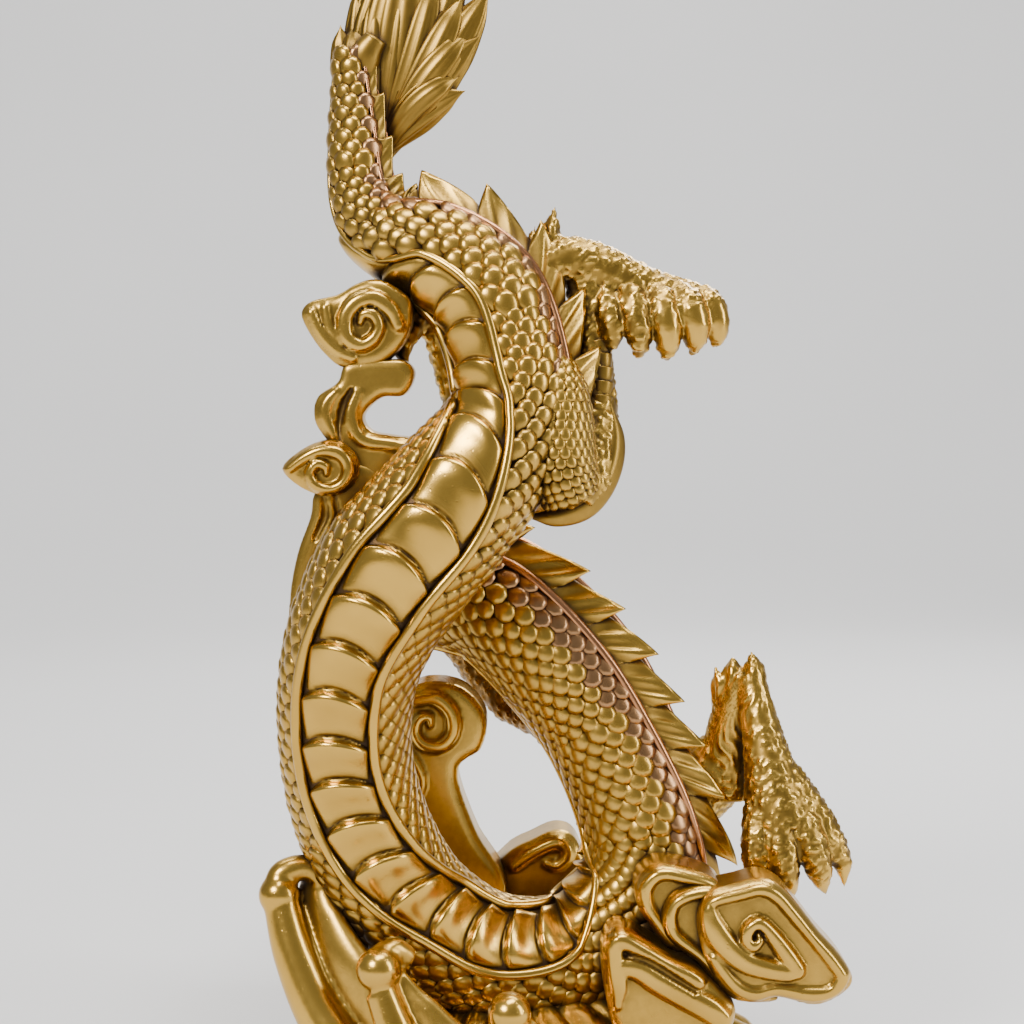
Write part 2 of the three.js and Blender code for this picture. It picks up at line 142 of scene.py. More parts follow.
class Finish:
    """A material's node tree, built by naming each node's settings and inputs."""

    def __init__(self, name):
        self.material = bpy.data.materials.new(name)
        self.material.use_nodes = True
        self.tree = self.material.node_tree
        self.tree.nodes.clear()
        self.surface = self.tree.nodes.new("ShaderNodeBsdfPrincipled")
        output = self.tree.nodes.new("ShaderNodeOutputMaterial")
        self.tree.links.new(self.surface.outputs[0], output.inputs[0])

    def put(self, node, socket, value):
        if isinstance(value, Socket):
            self.tree.links.new(value.link, node.inputs[socket])
        else:
            node.inputs[socket].default_value = value

    def node(self, kind, settings, inputs, output=0):
        made = self.tree.nodes.new(kind)
        for key, value in settings.items():
            if key == "stops":
                ramp = made.color_ramp.elements
                while len(ramp) < len(value):
                    ramp.new(0.5)
                for element, (place, shade) in zip(ramp, value):
                    element.position = place
                    element.color = (*shade, 1.0)
            else:
                setattr(made, key, value)
        for socket, value in inputs.items():
            self.put(made, socket, value)
        return Socket(self, made.outputs[output])

    def set(self, socket, value):
        self.put(self.surface, socket, value)

    def ramp(self, value, stops):
        return self.node("ShaderNodeValToRGB", {"stops": stops}, {0: value})

    def blend(self, share, first, second):
        inputs = {"Factor": share, 6: first, 7: second}
        return self.node("ShaderNodeMix", {"data_type": "RGBA"}, inputs, 2)

    def between(self, value, low, high):
        inputs = {"Value": value, "From Min": low, "From Max": high}
        return self.node("ShaderNodeMapRange", {"clamp": True}, inputs)

    def place(self):
        return self.node("ShaderNodeTexCoord", {}, {}, "Object")

    def noise(self, scale, detail=3.0, roughness=0.5):
        inputs = {"Vector": self.place(), "Scale": scale, "Detail": detail, "Roughness": roughness}
        return self.node("ShaderNodeTexNoise", {}, inputs)


def pale_floor():
    finish = Finish("pale_floor")
    mottle = finish.between(finish.noise(1.2), 0.3, 0.7)
    finish.set("Base Color", finish.blend(mottle, (0.66, 0.65, 0.64, 1), (0.70, 0.69, 0.68, 1)))
    finish.set("Roughness", 0.75)
    return finish.material


floor = sweep_floor()
floor.data.materials.append(pale_floor())

world = bpy.data.worlds.new("studio")
world.use_nodes = True
world.node_tree.nodes["Background"].inputs["Color"].default_value = (0.62, 0.64, 0.67, 1.0)
world.node_tree.nodes["Background"].inputs["Strength"].default_value = 0.5
scene.world = world

# ---------------------------------------------------------------------------
# The casting's core. The trunk is one long hollow brass tube, cast with its
# clouds and plinth, that winds down from the tail in an S, makes a loop over
# the plinth and turns away from the side seen to the head.
# ---------------------------------------------------------------------------

body_radius = 25.0
# x, y, z, radius, and the directions that the belly and the crest face, in
# degrees round the trunk from the side seen.
body_stations = [
    (-75, 16, 414, 7, -117, 65),
    (-73, 13, 385, 10.5, -117, 65),
    (-70, 9, 356, 13.2, -108, 68),
    (-60, 4, 341, 16.7, -78, 76),
    (-39.5, -3, 333, 20.9, -46, 86),
    (-20, -9.5, 316, 23, -44, 88),
    (-10.5, -17, 287, 23, -48, 88),
    (-13, -23, 265, 23.3, -40, 98),
    (-35, -32, 236, 26.9, -3, 145),
    (-59, -34, 207, 28.3, 0, 176),
    (-74, -29, 173, 25.5, -5, 176),
    (-76, -20, 134, 24.4, -4, 176),
    (-67, -14, 100, 24.6, 8, 184),
    (-49, -8, 70, 24.9, 34, 208),
    (-20, -2, 50, 25.1, 40, 218),
    (15, 5, 49, 25.3, 56, 234),
    (40, 11, 73, 25.8, 88, 262),
    (43, 15, 102, 24.7, 112, 285),
    (30, 19, 138, 24.7, 122, 297),
    (12, 22.5, 166, 26.6, 127, 299),
    (-16, 28, 192, 25.7, 122, 294),
    (-43, 45, 197, 24, 106, 281),
    (-58, 74, 198, 22.8, 94, 274),
    (-62, 100, 198, 21, 90, 270),
]


def unit(vectors):
    return vectors / np.linalg.norm(vectors, axis=-1, keepdims=True)


class Route:
    """A smooth path through stations of x, y, z and further values, in millimetres.

    at(distances) gives the points, the way the path runs, its front, its side and the values.
    The front stays turned to the side seen, or is carried along without a twist.
    """

    def __init__(self, stations, front=(0.0, -1.0, 0.0), carried=True):
        rows = np.array(stations, float)
        spans = len(rows) - 1
        steps = np.linspace(0.0, spans, spans * 48 + 1)
        before = rows[:1].copy()
        after = rows[-1:].copy()
        before[:, :3] = 2 * rows[0, :3] - rows[1, :3]
        after[:, :3] = 2 * rows[-1, :3] - rows[-2, :3]
        knots = np.vstack([before, rows, after])
        i = np.minimum(steps.astype(int), spans - 1)
        t = (steps - i)[:, None]
        a, b, c, d = knots[i], knots[i + 1], knots[i + 2], knots[i + 3]
        self.rows = b + 0.5 * t * (
            c - a + t * (2 * a - 5 * b + 4 * c - d + t * (3 * (b - c) + d - a))
        )
        points = self.rows[:, :3]
        hops = np.linalg.norm(np.diff(points, axis=0), axis=1)
        self.along = np.concatenate([[0.0], np.cumsum(hops)])
        self.length = self.along[-1]
        self.way = unit(np.gradient(points, axis=0))
        face = np.array(front, float)
        faces = []
        for way in self.way:
            if not carried:
                face = np.array(front, float)
            face = face - way * (face @ way)
            face = face / np.linalg.norm(face)
            faces.append(face)
        self.face = np.array(faces)

    def read(self, table, distances):
        columns = [np.interp(distances, self.along, table[:, k]) for k in range(table.shape[1])]
        return np.stack(columns, axis=-1)

    def at(self, distances):
        distances = np.clip(np.asarray(distances, float), 0.0, self.length)
        rows = self.read(self.rows, distances)
        way = unit(self.read(self.way, distances))
        face = self.read(self.face, distances)
        face = unit(face - way * np.sum(face * way, axis=-1, keepdims=True))
        side = np.cross(face, way)
        return rows[..., :3], way, face, side, rows[..., 3:]

    def outwards(self, distances, degrees):
        """The direction out of the path at an angle from its front."""
        _, _, face, side, _ = self.at(distances)
        turn = np.radians(degrees)[..., None]
        return face * np.cos(turn) + side * np.sin(turn)

    def around(self, distances, degrees, radii):
        """The points at an angle and a radius round the path."""
        points = self.at(distances)[0]
        return points + self.outwards(distances, degrees) * np.asarray(radii)[..., None]


body = Route(body_stations, carried=False)


def body_values(distances):
    """The trunk's radius and the belly's and the crest's directions."""
    values = body.at(distances)[4]
    return values[..., 0], values[..., 1], values[..., 2]


def lay_mesh(name, points, faces, marks=None):
    """An object from points in millimetres. marks is one number a point, 0 low to 1 high."""
    mesh = bpy.data.meshes.new(name)
    mesh.from_pydata((np.asarray(points) * MM).tolist(), [], faces)
    mesh.polygons.foreach_set("use_smooth", [True] * len(mesh.polygons))
    if marks is not None:
        layer = mesh.attributes.new("high", "FLOAT", "POINT")
        layer.data.foreach_set("value", np.asarray(marks, float).ravel())
    made = bpy.data.objects.new(name, mesh)
    scene.collection.objects.link(made)
    return made


def skin(name, *shells, marks=None):
    """Closed skins over grids of points (rings, sides, 3), with their ends filled."""
    faces, start = [], 0
    for rings in shells:
        count, sides = rings.shape[:2]
        index = start + np.arange(count * sides).reshape(count, sides)
        following = np.roll(index, -1, axis=1)
        walls = np.stack([index[:-1], index[1:], following[1:], following[:-1]], axis=-1)
        faces += walls.reshape(-1, 4).tolist()
        faces.append(index[0].tolist())
        faces.append(index[-1, ::-1].tolist())
        start += count * sides
    points = np.concatenate([rings.reshape(-1, 3) for rings in shells])
    made = lay_mesh(name, points, faces, marks)
    shell = bmesh.new()
    shell.from_mesh(made.data)
    bmesh.ops.recalc_face_normals(shell, faces=shell.faces)
    shell.to_mesh(made.data)
    shell.free()
    return made


# How far the occlusion reaches that paints shade into recesses.
recess_reach = 6 * MM
pit_depth = 0.35 * MM
cloudy_scale = 16.0
grain_scale = 260.0
pit_scale = 430.0


def brass(name, polished=(0.66, 0.40, 0.075), patina=(0.05, 0.024, 0.007), bite=1.0, pitted=0.35):
    """Cast brass: polished on the high spots, brown patina in the recesses with painted shade
    where parts crowd, and casting pits.

    bite is how strongly recesses darken, by patina and by painted shade, and pitted is how deep
    the pits are.
    """
    finish = Finish(name)
    high = finish.node("ShaderNodeAttribute", {"attribute_name": "high"}, {}, "Fac")
    # Ambient occlusion darkens the colour in recesses and where parts meet: painted shade, laid
    # over the patina.
    hollow = finish.node(
        "ShaderNodeAmbientOcclusion", {"samples": 6}, {"Distance": recess_reach}, "AO"
    )
    broad = finish.noise(cloudy_scale, 4.0, 0.6)
    fine = finish.noise(grain_scale, 4.0, 0.65)
    open_air = finish.between(hollow, 0.3, 0.92)
    # The colour's mix: polish on high spots, patina low down, random tone, and painted shade from
    # the occlusion.
    handling_and_painted_shade = high * 0.6 + open_air * 0.75 + (broad - 0.5) * 0.55
    wear_and_painted_shade = finish.between(handling_and_painted_shade + (fine - 0.5) * 0.22, 0.28 * bite, 1.12)
    brown = tuple(0.42 * p + 0.58 * q for p, q in zip(polished, patina))
    tone = finish.ramp(
        wear_and_painted_shade,
        [(0.0, patina), (0.28, tuple(0.6 * b for b in brown)), (0.6, brown), (0.92, polished)],
    )
    dulled = tuple(channel * shade for channel, shade in zip(polished, (0.7, 0.66, 0.6)))
    tone = finish.blend(finish.between(broad, 0.45, 0.68) * 0.55, tone, (*dulled, 1.0))
    tone = finish.blend(finish.between(wear_and_painted_shade, 0.0, 0.4), (*patina, 1.0), tone)
    finish.set("Base Color", tone)
    finish.set("Metallic", finish.between(wear_and_painted_shade, -0.5, 0.4))
    finish.set(
        "Roughness", finish.between(1.0 - wear_and_painted_shade + (fine - 0.5) * 0.25, -0.1, 1.1) * 0.36 + 0.2
    )
    pits = finish.node(
        "ShaderNodeTexVoronoi", {}, {"Vector": finish.place(), "Scale": pit_scale}, "Distance"
    )
    relief = finish.between(pits, 0.0, 0.2) * pitted + fine * 0.35 + broad * 0.2
    bump = finish.node(
        "ShaderNodeBump", {}, {"Strength": 0.3, "Distance": pit_depth, "Height": relief}
    )
    finish.set("Normal", bump)
    return finish.material


brass_scaled = brass("brass_scaled", bite=1.1)
brass_smooth = brass("brass_smooth", bite=0.9)
brass_copper = brass("brass_copper", polished=(0.56, 0.26, 0.12), patina=(0.07, 0.028, 0.014))
brass_rosy = brass("brass_rosy", polished=(0.5, 0.27, 0.12), patina=(0.05, 0.02, 0.01), bite=1.2)
# A darker brass for parts in shade: the core between the scales (patina with painted shade) and
# the far front leg inside the loop (painted shade).
brass_dark_patina_and_shade = brass("brass_dark_patina_and_shade", polished=(0.30, 0.17, 0.05), bite=1.5)


def finish_piece(piece, material):
    piece.data.materials.clear()
    piece.data.materials.append(material)
    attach(piece, "root")
    return piece


skin_below_scales = 0.9


def trunk_core():
    distances = np.linspace(0.0, body.length, 300)
    degrees = np.linspace(0.0, 360.0, 56, endpoint=False)
    grid, angles = np.meshgrid(distances, degrees, indexing="ij")
    radius = body_values(grid)[0] - skin_below_scales
    return skin("trunk_core", body.around(grid, angles, radius), marks=np.zeros_like(grid))


# The core that shows between the scales is darker: patina with painted shade.
trunk = finish_piece(trunk_core(), brass_dark_patina_and_shade)
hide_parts("dragon")

# ---------------------------------------------------------------------------
# The belly: broad plates that overlap towards the tail, cast on the trunk
# between two round rims, with a channel inside each rim.
# ---------------------------------------------------------------------------

plate_pitch = body.length / math.floor(body.length / 17.5)
plate_rise = 3.4
plate_bow = 5.5
plate_lip = 0.13
plate_step = 0.68
# The pillow near each plate's free edge, and the crevice between two plates.
swell_height, swell_place, swell_width = 0.9, 0.3, 0.26
crevice_depth, crevice_width = 1.0, 0.035
channel_depth = 2.0
belly_half = 36.0
rim_radius = 2.2
rim_lift = 0.6


def belly_plates():
    distances = np.arange(0.0, body.length, plate_step)
    across = np.linspace(-1.0, 1.0, 25)
    grid, side = np.meshgrid(distances, across, indexing="ij")
    radius, belly, _ = body_values(grid)
    small = radius / body_radius
    share = ((grid + plate_bow * (1.0 - side**2) ** 1.2) / plate_pitch) % 1.0
    lip = np.sqrt(1.0 - (1.0 - np.clip(share / plate_lip, 0.0, 1.0)) ** 2)
    fall = np.clip((share - plate_lip) / (1.0 - plate_lip), 0.0, 1.0)
    swell = np.exp(-(((share - swell_place) / swell_width) ** 2)) * (1.0 - side**2)
    rise = lip * (1.0 - 0.92 * fall**0.9)
    relief = (plate_rise * rise + swell_height * swell * lip) * (1.0 - 0.6 * side**4)
    relief = relief - channel_depth * side**6
    to_edge = np.minimum(share, 1.0 - share)
    relief = relief - crevice_depth * np.exp(-((to_edge / crevice_width) ** 2))
    top = body.around(grid, belly + side * (belly_half - 1.5), radius - 0.6 + relief * small)
    below = body.around(grid, belly + side * (belly_half - 3.0), radius - 4.5 * small)
    rings = np.concatenate([top, below[:, ::-1][:, ::4]], axis=1)
    # The plate's colour is polished on its lip and darker down its lower slope and in the crevice
    # under the next lip: patina there, with painted shade.
    shaded = np.clip(1.2 * fall - 0.55, 0.0, 1.0)
    marks = np.clip(lip * (0.95 - 1.1 * shaded), 0.0, 1.0) * (1.0 - 0.6 * side**6)
    marks = np.concatenate([marks, np.zeros_like(marks[:, ::4])], axis=1)
    return skin("belly_plates", rings, marks=marks)


def cord_along(name, angle_at, lift, thickness, step=1.6, sides=10):
    """A round cord cast on the trunk, at the angle that angle_at(belly, crest) gives."""
    distances = np.arange(0.0, body.length, step)
    turns = np.linspace(0.0, 2 * math.pi, sides, endpoint=False)
    grid, turn = np.meshgrid(distances, turns, indexing="ij")
    radius, belly, crest = body_values(grid)
    small = np.clip(radius / body_radius, 0.4, 1.0)
    angle = angle_at(belly, crest)
    sideways = np.degrees(thickness * small * np.sin(turn) / radius)
    outer = radius + lift * small + thickness * small * np.cos(turn)
    rings = body.around(grid, angle + sideways, outer)
    return skin(name, rings, marks=0.55 + 0.45 * np.cos(turn))


finish_piece(belly_plates(), brass_smooth)
for name, sign in (("belly_rim_near", 1), ("belly_rim_far", -1)):
    rim = cord_along(name, lambda belly, crest: belly + sign * belly_half, rim_lift, rim_radius)
    finish_piece(rim, brass_smooth)

# ---------------------------------------------------------------------------
# The scales: about 1,760 small shingles modelled in the wax and cast
# with the trunk, in staggered rows, each with its round free edge lifted
# towards the tail.
# ---------------------------------------------------------------------------

scale_width = 8.2
scale_row_pitch = 4.9
scale_sink = 0.6
# A shingle's own size, wider and longer than its seat so that the rows overlap.
shingle_size = {"Width": 9.4 * MM, "Length": 12.5 * MM, "Thickness": 4.6 * MM, "Tilt": 0.2}
crest_cord_angle = 25.0
rim_clearance = 3.0
rosy_share = 0.8


def scale_seats():
    """The place, outward normal, headward way and size of each scale, and how near the crest."""
    rng = np.random.default_rng(7)
    places, normals, ways, sizes, dorsal = [], [], [], [], []
    for row, distance in enumerate(np.arange(3.0, body.length - 2.0, scale_row_pitch)):
        radius, belly, crest = (float(value) for value in body_values(distance))
        for start, stop in (
            (belly + belly_half + rim_clearance, crest - crest_cord_angle),
            (belly + 360.0 - belly_half - rim_clearance, crest + crest_cord_angle),
        ):
            arc = abs(math.radians(stop - start)) * radius
            count = max(2, round(arc / (scale_width * (0.72 + 0.28 * radius / body_radius))))
            width = arc / count
            for column in range(count):
                share = (column + (0.25 if row % 2 else 0.75)) / count
                spot = np.array([distance + rng.normal(0.0, 0.2)])
                angle = np.array([start + (stop - start) * share])
                places.append(body.around(spot, angle, np.array([radius - scale_sink]))[0])
                normals.append(body.outwards(spot, angle)[0])
                ways.append(body.at(spot)[1][0])
                sizes.append(width / scale_width * rng.uniform(0.96, 1.06))
                dorsal.append(share > rosy_share)
    return [np.array(rows) for rows in (places, normals, ways, sizes, dorsal)]


def shingle_tree():
    """Puts one shingle on each point, turned by the point's normal and way."""
    tree = bpy.data.node_groups.new("shingles", "GeometryNodeTree")
    face = tree.interface
    face.new_socket("Geometry", in_out="INPUT", socket_type="NodeSocketGeometry")
    for label, value in shingle_size.items():
        face.new_socket(label, in_out="INPUT", socket_type="NodeSocketFloat").default_value = value
    face.new_socket("Material", in_out="INPUT", socket_type="NodeSocketMaterial")
    face.new_socket("Geometry", in_out="OUTPUT", socket_type="NodeSocketGeometry")

    def add(kind, settings=(), inputs=()):
        made = tree.nodes.new(kind)
        for key, value in dict(settings).items():
            setattr(made, key, value)
        for socket, value in dict(inputs).items():
            if isinstance(value, bpy.types.NodeSocket):
                tree.links.new(value, made.inputs[socket])
            else:
                made.inputs[socket].default_value = value
        return made

    def maths(operation, first, second=0.0):
        return add("ShaderNodeMath", {"operation": operation}, {0: first, 1: second}).outputs[0]

    given = add("NodeGroupInput").outputs
    ball = add("GeometryNodeMeshUVSphere", {}, {"Segments": 10, "Rings": 5, "Radius": 0.5})
    spot = add(
        "ShaderNodeSeparateXYZ", {}, {0: add("GeometryNodeInputPosition").outputs[0]}
    ).outputs
    # The free edge is at -Y: it is broad and high, and the root at +Y is narrow and low.
    broad = maths("SUBTRACT", 1.0, maths("MULTIPLY", spot[1], 0.5))
    x = maths("MULTIPLY", maths("MULTIPLY", spot[0], broad), given["Width"])
    y = maths("MULTIPLY", spot[1], given["Length"])
    rise = maths("MULTIPLY", spot[2], given["Thickness"])
    z = maths("SUBTRACT", rise, maths("MULTIPLY", y, given["Tilt"]))
    shaped = add(
        "GeometryNodeSetPosition",
        {},
        {
            "Geometry": ball.outputs[0],
            "Position": add("ShaderNodeCombineXYZ", {}, {0: x, 1: y, 2: z}).outputs[0]
        },
    )
    smooth = add("GeometryNodeSetShadeSmooth", {}, {"Geometry": shaped.outputs[0]})
    edge = maths("ADD", 0.45, maths("MULTIPLY", spot[1], -0.75))
    wear = maths("MULTIPLY", edge, maths("ADD", 0.55, spot[2]))
    high = maths("MULTIPLY", maths("MAXIMUM", wear, 0.0), 1.5)
    marked = add(
        "GeometryNodeStoreNamedAttribute",
        {"data_type": "FLOAT", "domain": "POINT"},
        {"Geometry": smooth.outputs[0], "Name": "high", "Value": high},
    )

    def named(label, kind):
        return add(
            "GeometryNodeInputNamedAttribute", {"data_type": kind}, {"Name": label}
        ).outputs[0]

    turned = add(
        "FunctionNodeAxesToRotation",
        {"primary_axis": "Z", "secondary_axis": "Y"},
        {
            "Primary Axis": named("normal_out", "FLOAT_VECTOR"),
            "Secondary Axis": named("way", "FLOAT_VECTOR")
        },
    )
    dots = add("GeometryNodeMeshToPoints", {}, {"Mesh": given["Geometry"]})
    placed = add(
        "GeometryNodeInstanceOnPoints",
        {},
        {
            "Points": dots.outputs[0],
            "Instance": marked.outputs[0],
            "Rotation": turned.outputs[0],
            "Scale": named("size", "FLOAT_VECTOR"),
        },
    )
    real = add("GeometryNodeRealizeInstances", {}, {"Geometry": placed.outputs[0]})
    coated = add(
        "GeometryNodeSetMaterial", {}, {"Geometry": real.outputs[0], "Material": given["Material"]}
    )
    add("NodeGroupOutput", {}, {0: coated.outputs[0]})
    return tree


def shingle(name, places, normals, ways, sizes, material, **dimensions):
    """Makes the shingles on their seats, as one plain mesh."""
    seats = lay_mesh(name + "_seats", places, [])
    for label, rows in (("normal_out", normals), ("way", ways)):
        layer = seats.data.attributes.new(label, "FLOAT_VECTOR", "POINT")
        layer.data.foreach_set("vector", np.asarray(rows, float).ravel())
    layer = seats.data.attributes.new("size", "FLOAT_VECTOR", "POINT")
    grown = np.repeat(np.asarray(sizes, float)[:, None], 3, axis=1)
    layer.data.foreach_set("vector", grown.ravel())
    modifier = seats.modifiers.new("shingles", "NODES")
    modifier.node_group = shingle_tree()
    inputs = {item.name: item.identifier for item in modifier.node_group.interface.items_tree}
    for label, value in dimensions.items():
        modifier[inputs[label]] = value
    modifier[inputs["Material"]] = material
    shown = seats.evaluated_get(bpy.context.evaluated_depsgraph_get())
    mesh = bpy.data.meshes.new_from_object(shown)
    mesh.name = name
    made = bpy.data.objects.new(name, mesh)
    scene.collection.objects.link(made)
    seats.modifiers.remove(modifier)
    bpy.data.objects.remove(seats)
    return made


places, normals, ways, sizes, dorsal = scale_seats()
for name, chosen, flatness, material in (
    ("scales", ~dorsal, 1.0, brass_scaled),
    ("scales_dorsal", dorsal, 0.7, brass_rosy),
):
    scales = shingle(
        name, places[chosen], normals[chosen], ways[chosen], sizes[chosen], material,
        Thickness=shingle_size["Thickness"] * flatness,
    )
    finish_piece(scales, material)

# ---------------------------------------------------------------------------
# The crest: a row of fins down the dragon's back, cast as one wavy ridge, each
# fin leaning to the tail, with a round copper-brown cord on each side.
# ---------------------------------------------------------------------------

fin_height = 12.5
fin_lean = 6.5
fin_step = 0.85
# The fins grow from their smallest share of the full size over this stretch.
fins_grow = (30.0, 110.0)
smallest_fin = 0.35
ridge_rise = 3.0
folds_per_fin = 3.0
fold_height = 1.25
cord_lift = 0.5
cord_radius = 1.9
# A fin's edge, from its tip (0) over its long head side to the next fin's tip (1).
fin_shares = [0.0, 0.04, 0.12, 0.3, 0.5, 0.7, 0.83, 0.9, 0.95, 0.98, 1.0]
fin_edge = [1.0, 0.985, 0.92, 0.7, 0.43, 0.18, 0.03, 0.0, 0.13, 0.6, 1.0]


def crest_ridge():
    distances = np.arange(0.0, body.length, fin_step)
    across = np.linspace(-1.0, 1.0, 23)
    grid, side = np.meshgrid(distances, across, indexing="ij")
    growth = np.clip((grid - fins_grow[0]) / (fins_grow[1] - fins_grow[0]), 0.0, 1.0)
    growth = smallest_fin + (1.0 - smallest_fin) * growth * growth * (3 - 2 * growth)
    share = ((grid - 0.1 * plate_pitch) / plate_pitch) % 1.0
    outline = np.interp(share, fin_shares, fin_edge)
    valley = ridge_rise * body_values(grid)[0] / body_radius
    height = valley + (fin_height * growth - valley) * outline
    out = 1.0 - np.abs(side)
    slope = out**1.5
    fold_turn = (share * folds_per_fin + 0.9 * out) * 2 * math.pi
    folds = np.cos(fold_turn) * np.sin(out * math.pi) ** 0.8 * (0.25 + 0.75 * outline)
    lift = height * slope + fold_height * folds * growth - 0.8 * np.abs(side) ** 6
    leaned = grid - fin_lean * growth * outline * out**0.9
    radius, _, crest = body_values(leaned)
    spread = (crest_cord_angle - 2.5) * (1.0 - 0.3 * slope)
    top = body.around(leaned, crest + side * spread, radius + lift)
    below = body.around(grid, crest + side * 16.0, radius - 4.0)
    rings = np.concatenate([top, below[:, ::-1][:, ::3]], axis=1)
    marks = np.clip(lift / (fin_height * growth) * 1.1 - 0.12 + 0.25 * folds, 0.0, 1.0)
    marks = np.concatenate([marks, np.zeros_like(below[:, ::3, 0])], axis=1)
    return skin("crest_fins", rings, marks=marks)


finish_piece(crest_ridge(), brass_smooth)
for name, sign in (("crest_cord_left", -1), ("crest_cord_right", 1)):
    cord = cord_along(
        name,
        lambda belly, crest: crest + sign * crest_cord_angle,
        cord_lift,
        cord_radius,
        step=2.0,
    )
    finish_piece(cord, brass_copper)

# ---------------------------------------------------------------------------
# The tail's tuft: a flame of long locks that fan out of the tail's end, modelled
# with flutes along each lock and cast solid with the tail.
# ---------------------------------------------------------------------------

tuft_root = (-65, 19, 374)
tuft_middle = 18
upper_lock_lift = 3.2
# The tip of each lock, its half width, and how far it sags on the way.
tuft_locks = [
    ((-29.5, 11, 399), 7.0, -2.5),
    ((-23.5, 12, 421), 8.5, -1.5),
    ((-19.5, 14, 441), 9.0, 1),
    ((-30, 16, 456), 8.5, 2),
    ((-45, 18, 463), 8.0, 1),
    ((-59, 20, 459), 8.0, -1),
    ((-71, 20, 446), 7.5, -2),
    ((-80, 18, 426), 6.5, -3),
]


def limb(stations, sides=24, rings=24, flat=1.0, front=(0.0, -1.0, 0.0), flutes=0, depth=0.0):
    """Rings round a tapering form through x, y, z, half width, fluted along its length."""
    route = Route(stations, front)
    points, _, face, side, values = route.at(np.linspace(0.0, route.length, rings))
    turns = np.linspace(0.0, 2 * math.pi, sides, endpoint=False)
    share = np.linspace(0.0, 1.0, rings)[:, None]
    swell = 1.0 + depth * np.sin(share * math.pi) ** 0.7 * np.cos(flutes * turns)
    width = np.maximum(values[:, :1], 0.05) * swell
    through = (np.cos(turns) * width * flat)[..., None]
    across = (np.sin(turns) * width)[..., None]
    return points[:, None] + face[:, None] * through + side[:, None] * across


def tail_tuft():
    root = np.array(tuft_root, float)
    shells = [
        limb(
            [
                (-66, 18, 370, 4),
                (-59, 20, 392, 13),
                (-55, 20, 418, 22),
                (-52, 19, 444, 16),
                (-50, 18, 456, 6),
            ],
            sides=72, rings=40, flat=0.36, flutes=18, depth=0.07,
        )
    ]
    for layer in (0, 1):
        for place, (tip, width, sag) in enumerate(tuft_locks[: len(tuft_locks) - layer]):
            end = np.array(tip, float)
            if layer:
                end = 0.5 * (end + np.array(tuft_locks[place + 1][0], float))
                end = root + 0.86 * (end - root)
            droop = np.array([sag, 0.0, -sag], float)
            out = np.array([0.0, -upper_lock_lift * layer, 0.0])
            middle = 0.5 * (root + end) + droop + out
            late = 0.2 * root + 0.8 * end + 0.7 * droop + out
            for side_of in (1, -1) if layer else (1,):
                to_far_side = 2 * tuft_middle - 2 * middle[1] if side_of < 0 else 0.0
                flip = np.array([0.0, to_far_side, 0.0])
                rows = [
                    (*root, 3.0),
                    (*(middle + flip), width * (0.85 if layer else 1.0)),
                    (*(late + flip), width * 0.7),
                    (*end, 0.0),
                ]
                shells.append(limb(rows, sides=36, rings=34, flat=0.5, flutes=9, depth=0.11))
    shells.append(limb([(-74, 17, 395, 5.5), (-70, 13, 412, 6.5), (-65, 11, 420, 4.5)], flat=0.8))
    return skin("tail_tuft", *shells)


finish_piece(tail_tuft(), brass("brass_tuft", bite=0.8))

# ---------------------------------------------------------------------------
# The legs: thigh, shin and knuckled foot, modelled as one form each and cast
# onto the trunk, grained with round warts and hair, with smooth nails.
# ---------------------------------------------------------------------------


def fused(name, shells, voxel=1.0, softening=3):
    """Melts overlapping closed shells into one skin."""
    raw = skin(name + "_raw", *shells)
    melt = raw.modifiers.new("melt", "REMESH")
    melt.mode = "VOXEL"
    melt.voxel_size = voxel * MM
    soften = raw.modifiers.new("soften", "SMOOTH")
    soften.factor = 0.5
    soften.iterations = softening
    shown = raw.evaluated_get(bpy.context.evaluated_depsgraph_get())
    mesh = bpy.data.meshes.new_from_object(shown)
    mesh.name = name
    made = bpy.data.objects.new(name, mesh)
    scene.collection.objects.link(made)
    bpy.data.objects.remove(raw)
    mesh.polygons.foreach_set("use_smooth", [True] * len(mesh.polygons))
    return made


def vertices_of(made):
    """The points, in millimetres, and the outward normals of a piece."""
    mesh = made.data
    points = np.empty(len(mesh.vertices) * 3)
    mesh.vertices.foreach_get("co", points)
    normals = np.empty(len(mesh.vertices) * 3)
    mesh.vertex_normals.foreach_get("vector", normals)
    return points.reshape(-1, 3) / MM, normals.reshape(-1, 3)


def reshape(made, points, marks):
    """Moves a piece's points and keeps how high each stands, 0 to 1, for its patina."""
    made.data.vertices.foreach_set("co", (points * MM).ravel())
    made.data.update()
    layer = made.data.attributes.get("high") or made.data.attributes.new("high", "FLOAT", "POINT")
    layer.data.foreach_set("value", np.clip(marks, 0.0, 1.0).astype(float))
    return made


def warts(points, pitch):
    """Round warts packed over a skin: 1 on top of a wart, 0 between."""
    heights = [
        1.0 - min(noise.voronoi(Vector(point) / pitch)[0][0] / 0.52, 1.0) ** 2 for point in points
    ]
    return np.array(heights) ** 0.6


def strands(points, route, count, wave=0.12):
    """Hair along a route: 1 on a strand, 0 between strands."""
    samples = np.linspace(0.0, route.length, 90)
    middles, _, face, side, _ = route.at(samples)
    gaps = np.linalg.norm(points[:, None] - middles[None], axis=2)
    nearest = gaps.argmin(axis=1)
    out = points - middles[nearest]
    turn = np.arctan2(np.sum(out * side[nearest], axis=1), np.sum(out * face[nearest], axis=1))
    bend = np.sin(samples[nearest] * wave + 2.0 * turn) * 0.35
    return 0.5 + 0.5 * np.cos((turn + bend) * count)


def near(points, places, reach):
    """1 at the named places, fading to 0 at their reach."""
    share = np.zeros(len(points))
    for place in places:
        gap = np.linalg.norm(points - np.array(place, float), axis=1)
        share = np.maximum(share, np.clip(1.6 * (1.0 - gap / reach), 0.0, 1.0))
    return share


